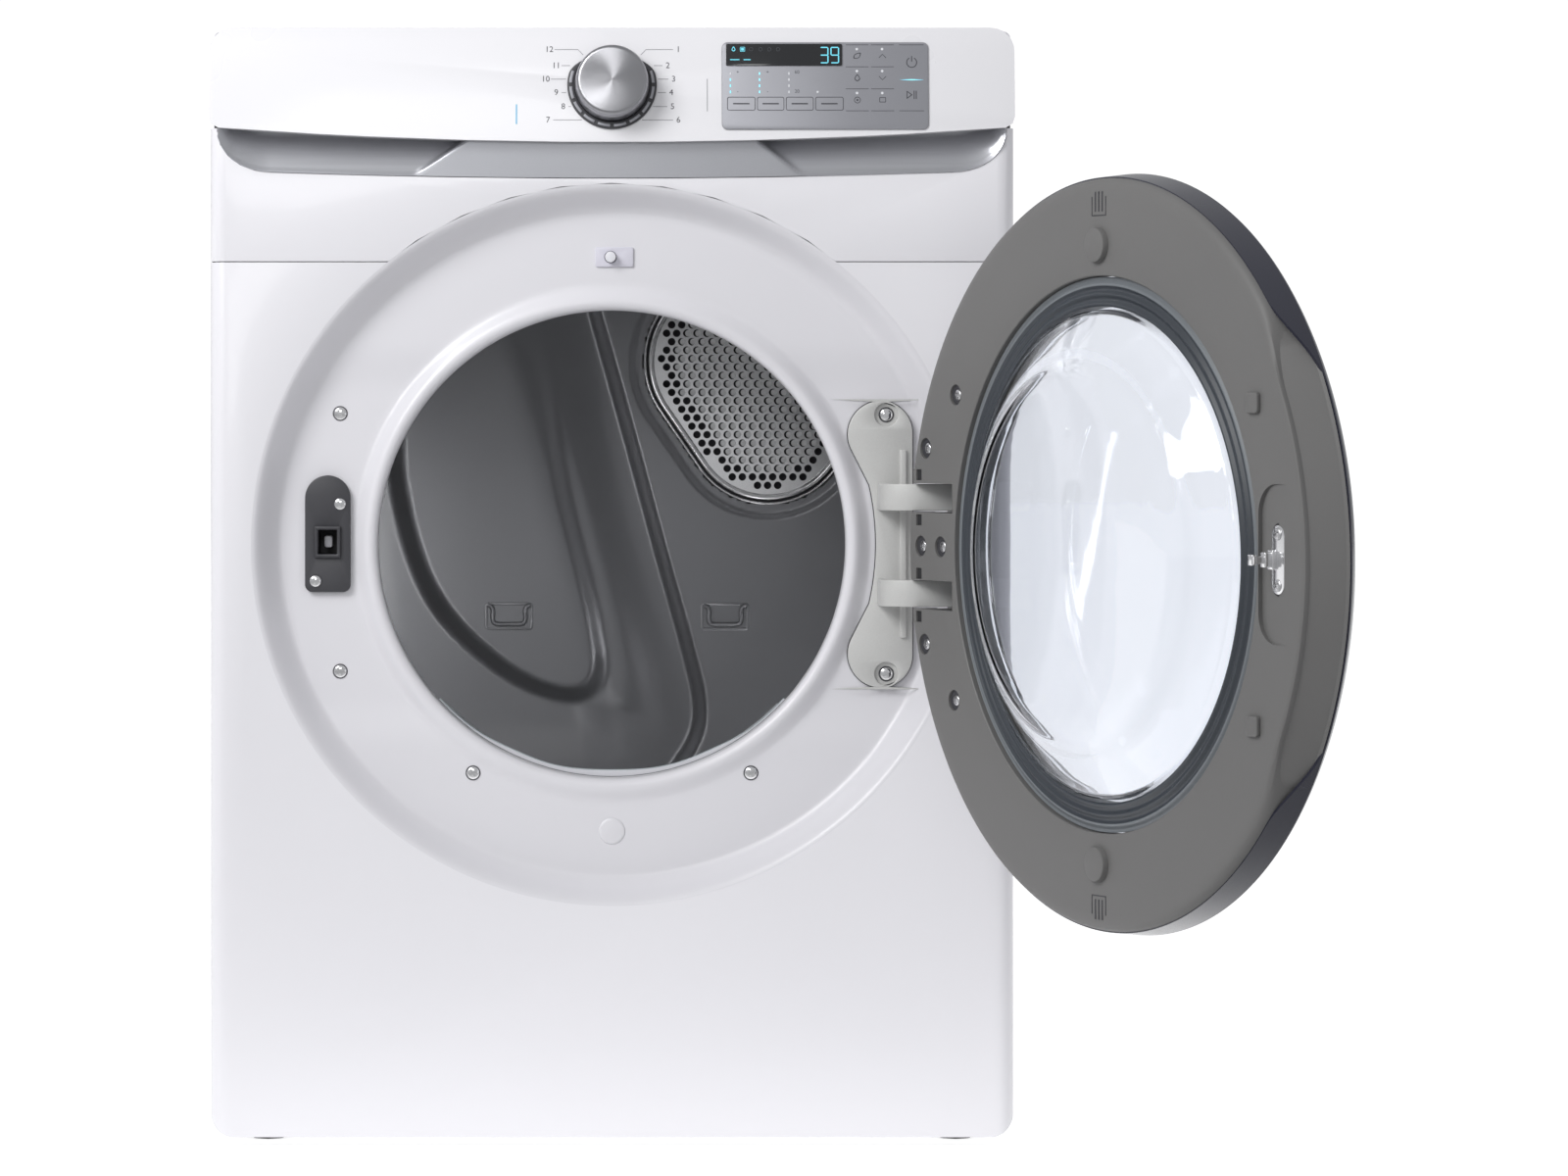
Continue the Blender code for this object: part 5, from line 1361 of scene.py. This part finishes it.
def build_door_frame():
    """The door's inner face with its soft edge, finger grip, latch recess and hinge pockets."""
    steps = 256
    profile = [(0.2220, -0.0200), (0.2220, -0.0352), (0.2226, -0.0358), (0.2236, -0.0360)]
    profile += [(0.2500, -0.0360), (0.2700, -0.0360), (0.2860, -0.0360), (0.2905, -0.0358)]
    profile += [(0.2945, -0.0350), (0.2975, -0.0335), (0.2995, -0.0310), (0.3006, -0.0270)]
    profile += [(0.3014, -0.0220), (0.3021, -0.0170), (0.3027, -0.0120), (0.3031, -0.0090), (0.3034, -0.0075)]
    back = [(0.3010, -0.0075), (0.2978, -0.0298), (0.2890, -0.0335), (0.2245, -0.0335), (0.2245, -0.0200)]
    pull = {5: 0.0020, 6: 0.0060, 7: 0.0080, 8: 0.0105, 9: 0.0130, 10: 0.0155, 11: 0.0165}
    pull.update({12: 0.0150, 13: 0.0120, 14: 0.0080, 15: 0.0035, 16: 0.0005})
    back_pull = {1: 0.0130, 2: 0.0070}
    vertices = []
    for k in range(steps):
        angle = math.tau * k / steps
        share = scoop_share(math.remainder(angle, math.tau))
        for line, pulled in ((profile, pull), (back, back_pull)):
            for index, (radius, height) in enumerate(line):
                radius -= share * pulled.get(index, 0.0)
                vertices.append((radius * math.cos(angle), radius * math.sin(angle), height))
    faces = turned_faces(steps, len(profile) + len(back))
    door = add_mesh("door_frame_face", vertices, faces, DOOR_GREY, None, 30)
    u0, z0 = HINGE.x, OPENING_Z
    joins = []
    spans = [(ARM_HEIGHTS[0] - ARM_HALF - 0.012, ARM_HEIGHTS[0] - ARM_HALF)]
    spans.append((ARM_HEIGHTS[0] + ARM_HALF, ARM_HEIGHTS[1] - ARM_HALF))
    spans.append((ARM_HEIGHTS[1] + ARM_HALF, ARM_HEIGHTS[1] + ARM_HALF + 0.012))
    for low, high in spans:
        near, far = (-0.004 - u0, low - z0 + 0.0001, -0.0345), (0.012 - u0, high - z0 - 0.0001, 0.0045)
        joins.append(block("boss", near, far, DOOR_GREY))
    pad = rounded_box(0.5086 - u0, 0.4407 - z0, 0.5560 - u0, 0.5662 - z0, 0.020, 10)
    joins.append(extruded("pad", pad, -0.0350, -0.0285, DOOR_GREY))
    combine(door, joins, "UNION", 30)
    recess = rounded_box(0.5106 - u0, 0.4427 - z0, 0.5650 - u0, 0.5642 - z0, 0.0225, 12)
    recess = extruded("latch_recess", recess, -0.0450, -0.0322, DOOR_GREY)
    for vertex in recess.data.vertices:
        vertex.co.z -= 0.105 * (vertex.co.x - 0.5106 + u0)
    cuts = [recess]
    for middle in ARM_HEIGHTS:
        near = (-0.030 - u0, middle - z0 - ARM_HALF, -0.045)
        far = (0.0620 - u0, middle - z0 + ARM_HALF, 0.0090)
        cuts.append(block("notch", near, far, DOOR_GREY))
    for u, z in DOOR_SCREWS:
        cuts.append(extruded("screw_hole", circle(u - u0, z - z0, 0.0088, 32), -0.040, -0.0338, DOOR_GREY))
    for z in DOOR_SLOTS:
        near, far = (0.0035 - u0, z - z0 - 0.0046, -0.040), (0.0125 - u0, z - z0 + 0.0046, -0.0338)
        cuts.append(block("slot", near, far, DOOR_GREY))
    combine(door, cuts, "DIFFERENCE", 30)
    door.data.transform(door_matrix())
    door.data.flip_normals()
    return mount(door, "door", "door_grey", "door_inner_frame")


DOOR_SLOTS = (0.5654, 0.5275, 0.4823, 0.4460)
DOOR_SCREWS = (
    (0.0675, 0.6326),
    (0.0190, 0.5878),
    (0.0110, 0.5055),
    (0.0430, 0.5055),
    (0.0170, 0.4230),
    (0.0650, 0.3780),
)


def stadium(u, z, width, height):
    radius = width / 2
    straight = height / 2 - radius
    return arc(u, z + straight, radius, 0, 180, 14) + arc(u, z - straight, radius, 180, 360, 14)


def build_door_details():
    for number, (u, z) in enumerate(DOOR_SCREWS):
        head = screw_head(f"door_screw_{number + 1}", 0.0046, on_door_inside(u + 0.0022, z, -0.0342), STEEL)
        mount(head, "door", "bright_steel")
        floor = lathe(
            f"screw_well_{number + 1}", [(0, -0.0002), (0.0084, -0.0002), (0.0084, 0.0003), (0, 0.0003)],
            DARK, on_door_inside(u, z, -0.0338), 32,
        )
        mount(floor, "door", "door_grey")
    slots = []
    floor = [rounded_box(-0.0044, -0.0045, 0.0044, 0.0045, 0.0003, 2)]
    for z in DOOR_SLOTS:
        slots.append(filled("slot_floor", floor, 0.0, 0.0006, RUBBER, on_door_inside(0.0080, z, -0.0338)))
    mount(gather("door_slots", slots), "door", "door_grey")
    profile = [(0, -0.0012), (0.0144, -0.0012), (0.0142, 0.0036)]
    profile += [(0.0136, 0.0048), (0.0122, 0.0054), (0, 0.0056)]
    for name, z in (("door_bumper_top", 0.7515), ("door_bumper_bottom", 0.2585)):
        mount(lathe(name, profile, DOOR_GREY, on_door_inside(0.287, z, -0.0360), 64, 40), "door", "door_grey")
    for name, z in (("door_bump_top", 0.6257), ("door_bump_bottom", 0.3798)):
        pad = [rounded_box(-0.0080, -0.0080, 0.0080, 0.0080, 0.0028)]
        bump = filled(name, pad, -0.0005, 0.0036, DOOR_GREY, on_door_inside(0.5055, z, -0.0360), 0.0010)
        mount(bump, "door", "door_grey")
    for name, z, flip in (("door_sign_top", 0.7842, 1), ("door_sign_bottom", 0.2242, -1)):
        high, low = 0.006 * flip, -0.009 * flip
        lines = [stroke([(-0.010, high), (-0.010, low), (0.010, low), (0.010, high)], 0.0011)]
        for a in (-0.005, 0.0, 0.005):
            lines.append(stroke([(a, -0.006 * flip), (a, 0.010 * flip)], 0.0016))
        sign = filled(name, lines, 0.0, 0.0003, DARK, on_door_inside(0.2875, z, -0.0360))
        mount(sign, "door", "door_grey")


def build_striker():
    """The latch strike: a bright plate with round ends and two screws, and the stepped tongue."""
    place = on_door_inside(0.5370, LATCH_Z, -0.0344)
    # A dark stadium a little larger than the plate, under it: painted shadow of the recess round the plate.
    gap = filled("striker_shadow_outline", [stadium(0, 0, 0.0200, 0.0560)], 0.0, 0.0005, RUBBER, place)
    mount(gap, "door", "dark_plastic")
    plate = filled("striker_plate", [stadium(0, 0, 0.0165, 0.0525)], 0.0, 0.0020, CHROME, place, 0.0005)
    mount(plate, "door", "bright_steel", "door_striker")
    for number, shift in enumerate((-0.0195, 0.0195)):
        spot = place @ Matrix.Translation((0, shift, 0.0018))
        head = screw_head(f"striker_screw_{number + 1}", 0.0048, spot, STEEL)
        mount(head, "door", "bright_steel")
    pieces = []
    socket = on_door_inside(HINGE.x - LATCH_X, LATCH_Z, -0.0344)
    for low, high in (
        ((-0.0040, -0.0075, 0.0015), (0.0040, 0.0075, 0.0050)),
        ((-0.0034, -0.0058, 0.0045), (0.0034, 0.0058, 0.0115)),
        ((-0.0022, -0.0030, 0.0105), (0.0022, 0.0030, 0.0222)),
        ((-0.0034, -0.0042, 0.0190), (0.0034, 0.0042, 0.0232)),
    ):
        part = block("tongue", low, high, CHROME, socket)
        soften(part, 0.0010, 3)
        pieces.append(bake_modifiers(part))
    mount(gather("striker_tongue", pieces), "door", "bright_steel")


def build_door_shell():
    """The outer rim, the gasket's ribs, the pressed glass bowl and the outer window."""
    matrix = door_matrix()
    steps = 256
    vertices = []
    skin = [(0.2995, -0.0010), (0.2955, 0.0025), (0.2910, 0.0052), (0.2850, 0.0075), (0.2720, 0.0096)]
    skin += [(0.2560, 0.0112), (0.2560, 0.0087), (0.2830, 0.0052), (0.2940, 0.0005), (0.2985, -0.0070)]
    for k in range(steps):
        angle = math.tau * k / steps
        share = scoop_share(math.remainder(angle, math.tau))
        start = -0.0292 + 0.0222 * share
        side = [start + (-0.0060 - start) * step / 5 for step in range(6)]
        line = [(0.3010 + 0.0027 * (height + 0.0292) / 0.0222, height) for height in side]
        line += [(0.3024, -0.0038)] + skin + [(0.2990 + 0.0020 * share, start)]
        for radius, height in line:
            vertices.append((radius * math.cos(angle), radius * math.sin(angle), height))
    faces = turned_faces(steps, len(line))
    shell = add_mesh("door_shell", vertices, faces, DOOR_NAVY, None, 30)
    cuts = []
    u0, z0 = HINGE.x, OPENING_Z
    for middle in ARM_HEIGHTS:
        near = (0.0070 - u0, middle - z0 - ARM_HALF, -0.045)
        far = (0.0620 - u0, middle - z0 + ARM_HALF, 0.0072)
        cuts.append(block("notch", near, far, DOOR_NAVY))
    near = (-0.030 - u0, ARM_HEIGHTS[0] - z0 - ARM_HALF - 0.0125, -0.045)
    far = (0.0125 - u0, ARM_HEIGHTS[1] - z0 + ARM_HALF + 0.0125, 0.0120)
    cuts.append(block("bay", near, far, DOOR_NAVY))
    combine(shell, cuts, "DIFFERENCE", 30)
    shell.data.transform(matrix)
    shell.data.flip_normals()
    mount(shell, "door", "door_navy", "door_outer_rim")

    rib = [(0.1974, -0.0193)]
    for k in range(25):
        t = k / 24
        wave = 0.0011 * math.sin(t * math.tau * 3)
        rib.append((0.1976 + 0.0236 * t, -0.0345 + 0.0030 * t - wave))
    rib.append((0.2213, -0.0193))
    gasket = lathe("gasket_ribs", rib, GASKET, Matrix.Identity(4), 200, 50)
    gasket.data.materials.append(GASKET_LIGHT)
    for face in gasket.data.polygons:
        reach = math.hypot(face.center.x, face.center.y)
        if 0.2145 < reach < 0.2213 and face.center.z < -0.0250:
            face.material_index = 1
    gasket.data.transform(matrix)
    gasket.data.flip_normals()
    mount(gasket, "door", "gasket_rubber", "door_glass_gasket")

    outer = [(0.2190, -0.0185), (0.1966, -0.0189), (0.1952, -0.0340), (0.1900, -0.0392), (0.1780, -0.0470)]
    outer += [(0.1650, -0.0548), (0.1560, -0.0605), (0.1480, -0.0644), (0.1380, -0.0667), (0.1200, -0.0682)]
    outer += [(0.0700, -0.0694), (0, -0.0700)]
    inner = [(0, -0.0670), (0.0700, -0.0664), (0.1190, -0.0652), (0.1360, -0.0637), (0.1455, -0.0613)]
    inner += [(0.1540, -0.0570), (0.1630, -0.0522), (0.1760, -0.0443), (0.1870, -0.0370), (0.1920, -0.0320)]
    inner += [(0.1935, -0.0156), (0.2190, -0.0155)]
    line = flowing(outer, 4, closed=False) + flowing(inner, 4, closed=False)
    line = [(max(0.0, r), h) for r, h in line]
    bowl = turned_shell("glass_bowl", line, GLASS, matrix, 200)
    mount(bowl, "door", "bowl_glass", "door_glass_bowl")

    pane = [(0.2554, 0.0087), (0.2554, 0.0111), (0.1300, 0.0152)]
    pane += [(0.0, 0.0165), (0.0, 0.0139), (0.1300, 0.0126)]
    window = turned_shell("outer_window", pane, WINDOW, matrix, 160)
    mount(window, "door", "window_clear", "door_outer_window")


def turned_shell(name, profile, material, matrix, steps):
    """A closed profile that touches the axis on both its sides, turned into one shell."""
    piece = lathe(name, profile, material, Matrix.Identity(4), steps, 50)
    made = bmesh.new()
    made.from_mesh(piece.data)
    bmesh.ops.remove_doubles(made, verts=made.verts, dist=1e-6)
    bmesh.ops.dissolve_degenerate(made, dist=1e-7, edges=made.edges)
    bmesh.ops.recalc_face_normals(made, faces=made.faces)
    made.to_mesh(piece.data)
    made.free()
    piece.data.transform(matrix)
    piece.data.flip_normals()
    piece.data.shade_smooth()
    piece.data.set_sharp_from_angle(angle=math.radians(50))
    return piece


# ---------------------------------------------------------------- the rest of the cabinet

CARRIED = {
    "left_side_panel": (WHITE, 0.0),
    "right_side_panel": (WHITE, 0.0),
    "top_panel": (WHITE, 0.0),
    "rear_panel": (GALVANISED, 0.0),
    "base_pan": (GALVANISED, 0.0),
    "terminal_cover": (DARK, 0.0015),
    "foot_front_left": (RUBBER, 0.0008),
    "foot_front_right": (RUBBER, 0.0008),
    "foot_rear_left": (RUBBER, 0.0008),
    "foot_rear_right": (RUBBER, 0.0008),
    "exhaust_duct": (GALVANISED, 0.0),
    "front_bulkhead": (GALVANISED, 0.0),
}
KEPT = {
    "control_board": BOARD,
    "front_drum_seal": FELT,
    "rear_drum_seal": FELT,
    "lint_duct": GALVANISED,
    "heater_housing": GALVANISED,
    "heater_element": STEEL,
    "drum_belt": RUBBER,
    "motor": GALVANISED,
    "motor_shaft": STEEL,
    "blower_wheel": LIFTER,
    "blower_housing": GALVANISED,
    "idler_arm": GALVANISED,
    "idler_pulley": DARK,
    "drum_roller_front_left": RUBBER,
    "drum_roller_front_right": RUBBER,
    "drum_roller_rear_left": RUBBER,
    "drum_roller_rear_right": RUBBER,
    "roller_shaft_front_left": STEEL,
    "roller_shaft_front_right": STEEL,
    "roller_shaft_rear_left": STEEL,
    "roller_shaft_rear_right": STEEL,
}


def build_cabinet():
    for node, (material, bevel) in CARRIED.items():
        carry(node, material, bevel)
    for node, material in KEPT.items():
        mesh = NODES[node].data
        mesh.materials.clear()
        mesh.materials.append(material)


# ---------------------------------------------------------------- stage, lights and camera


def area_light(name, place, target, size, power):
    data = bpy.data.lights.new(name, "AREA")
    data.shape = "RECTANGLE"
    data.size, data.size_y = size
    data.energy = power
    light = bpy.data.objects.new(name, data)
    bpy.context.scene.collection.objects.link(light)
    light.location = place
    light.rotation_euler = (Vector(target) - Vector(place)).to_track_quat("-Z", "Y").to_euler()
    return light


def build_stage():
    material, nodes, links, shader = new_material("studio_floor")
    shader.inputs["Base Color"].default_value = (0.70, 0.70, 0.70, 1)
    shader.inputs["Roughness"].default_value = 0.9
    shader.inputs["Emission Color"].default_value = (1, 1, 1, 1)
    coordinates = nodes.new("ShaderNodeTexCoord")
    axes = nodes.new("ShaderNodeSeparateXYZ")
    links.new(coordinates.outputs["Object"], axes.inputs["Vector"])
    sweep = nodes.new("ShaderNodeMapRange")
    sweep.interpolation_type = "SMOOTHSTEP"
    sweep.inputs["From Min"].default_value = -0.85
    sweep.inputs["From Max"].default_value = -0.45
    sweep.inputs["To Min"].default_value = 0.05
    sweep.inputs["To Max"].default_value = 0.75
    links.new(axes.outputs["Y"], sweep.inputs["Value"])
    links.new(sweep.outputs["Result"], shader.inputs["Emission Strength"])
    floor_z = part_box("foot_front_left")[0].z
    reach = 30.0
    sides = ((-reach, -reach), (reach, -reach), (reach, reach), (-reach, reach))
    corners = [(x, y, floor_z) for x, y in sides]
    mesh = bpy.data.meshes.new("floor")
    mesh.from_pydata(corners, [], [[0, 1, 2, 3]])
    mesh.materials.append(material)
    floor = bpy.data.objects.new("floor", mesh)
    bpy.context.scene.collection.objects.link(floor)

    world = bpy.data.worlds.new("studio")
    bpy.context.scene.world = world
    world.use_nodes = True
    nodes, links = world.node_tree.nodes, world.node_tree.links
    nodes.clear()
    seen = nodes.new("ShaderNodeBackground")
    seen.inputs["Color"].default_value = (1, 1, 1, 1)
    seen.inputs["Strength"].default_value = 1.05
    lighting = nodes.new("ShaderNodeBackground")
    lighting.inputs["Color"].default_value = (0.97, 0.98, 1.0, 1)
    lighting.inputs["Strength"].default_value = 0.50
    path = nodes.new("ShaderNodeLightPath")
    either = nodes.new("ShaderNodeMath")
    either.operation = "MAXIMUM"
    links.new(path.outputs["Is Camera Ray"], either.inputs[0])
    links.new(path.outputs["Is Transmission Ray"], either.inputs[1])
    mix = nodes.new("ShaderNodeMixShader")
    output = nodes.new("ShaderNodeOutputWorld")
    links.new(either.outputs["Value"], mix.inputs["Fac"])
    links.new(lighting.outputs["Background"], mix.inputs[1])
    links.new(seen.outputs["Background"], mix.inputs[2])
    links.new(mix.outputs["Shader"], output.inputs["Surface"])

    key = area_light("key", (-1.5, -2.0, 2.1), (-0.2, -0.35, 1.05), (1.2, 1.2), 14)
    key.data.spread = math.radians(90)
    area_light("low_right", (2.2, -2.2, 0.35), (0.3, -0.36, 0.15), (1.2, 1.0), 3.0)
    area_light("inside", (-0.30, -2.6, 1.2), (0, 0.29, 0.45), (0.5, 0.5), 4)
    area_light("drum_lamp_left", (-0.255, -0.20, 0.44), (0.05, 0.27, 0.52), (0.05, 0.30), 0.30)
    area_light("drum_lamp_low", (-0.12, -0.20, 0.262), (0.0, 0.27, 0.45), (0.24, 0.04), 0.04)
    bpy.context.scene.view_settings.view_transform = "Standard"


def build_camera():
    data = bpy.data.cameras.new("camera")
    camera = bpy.data.objects.new("camera", data)
    bpy.context.scene.collection.objects.link(camera)
    camera.location = (0, -4.894, 0.622)
    camera.rotation_euler = (math.radians(90), 0, 0)
    data.lens = 122.1
    data.sensor_width = 36
    data.shift_x = 0.1097
    data.shift_y = -0.115
    data.clip_end = 100
    bpy.context.scene.camera = camera


build_camera()
build_stage()
build_front_panel()
build_upper_front()
build_trim()
build_front_screws()
build_control_panel()
build_latch()
build_switch()
build_rear_wall()
build_grille()
build_drum()
build_lint_filter()
build_hinge()
build_door_frame()
build_door_details()
build_striker()
build_door_shell()
build_cabinet()
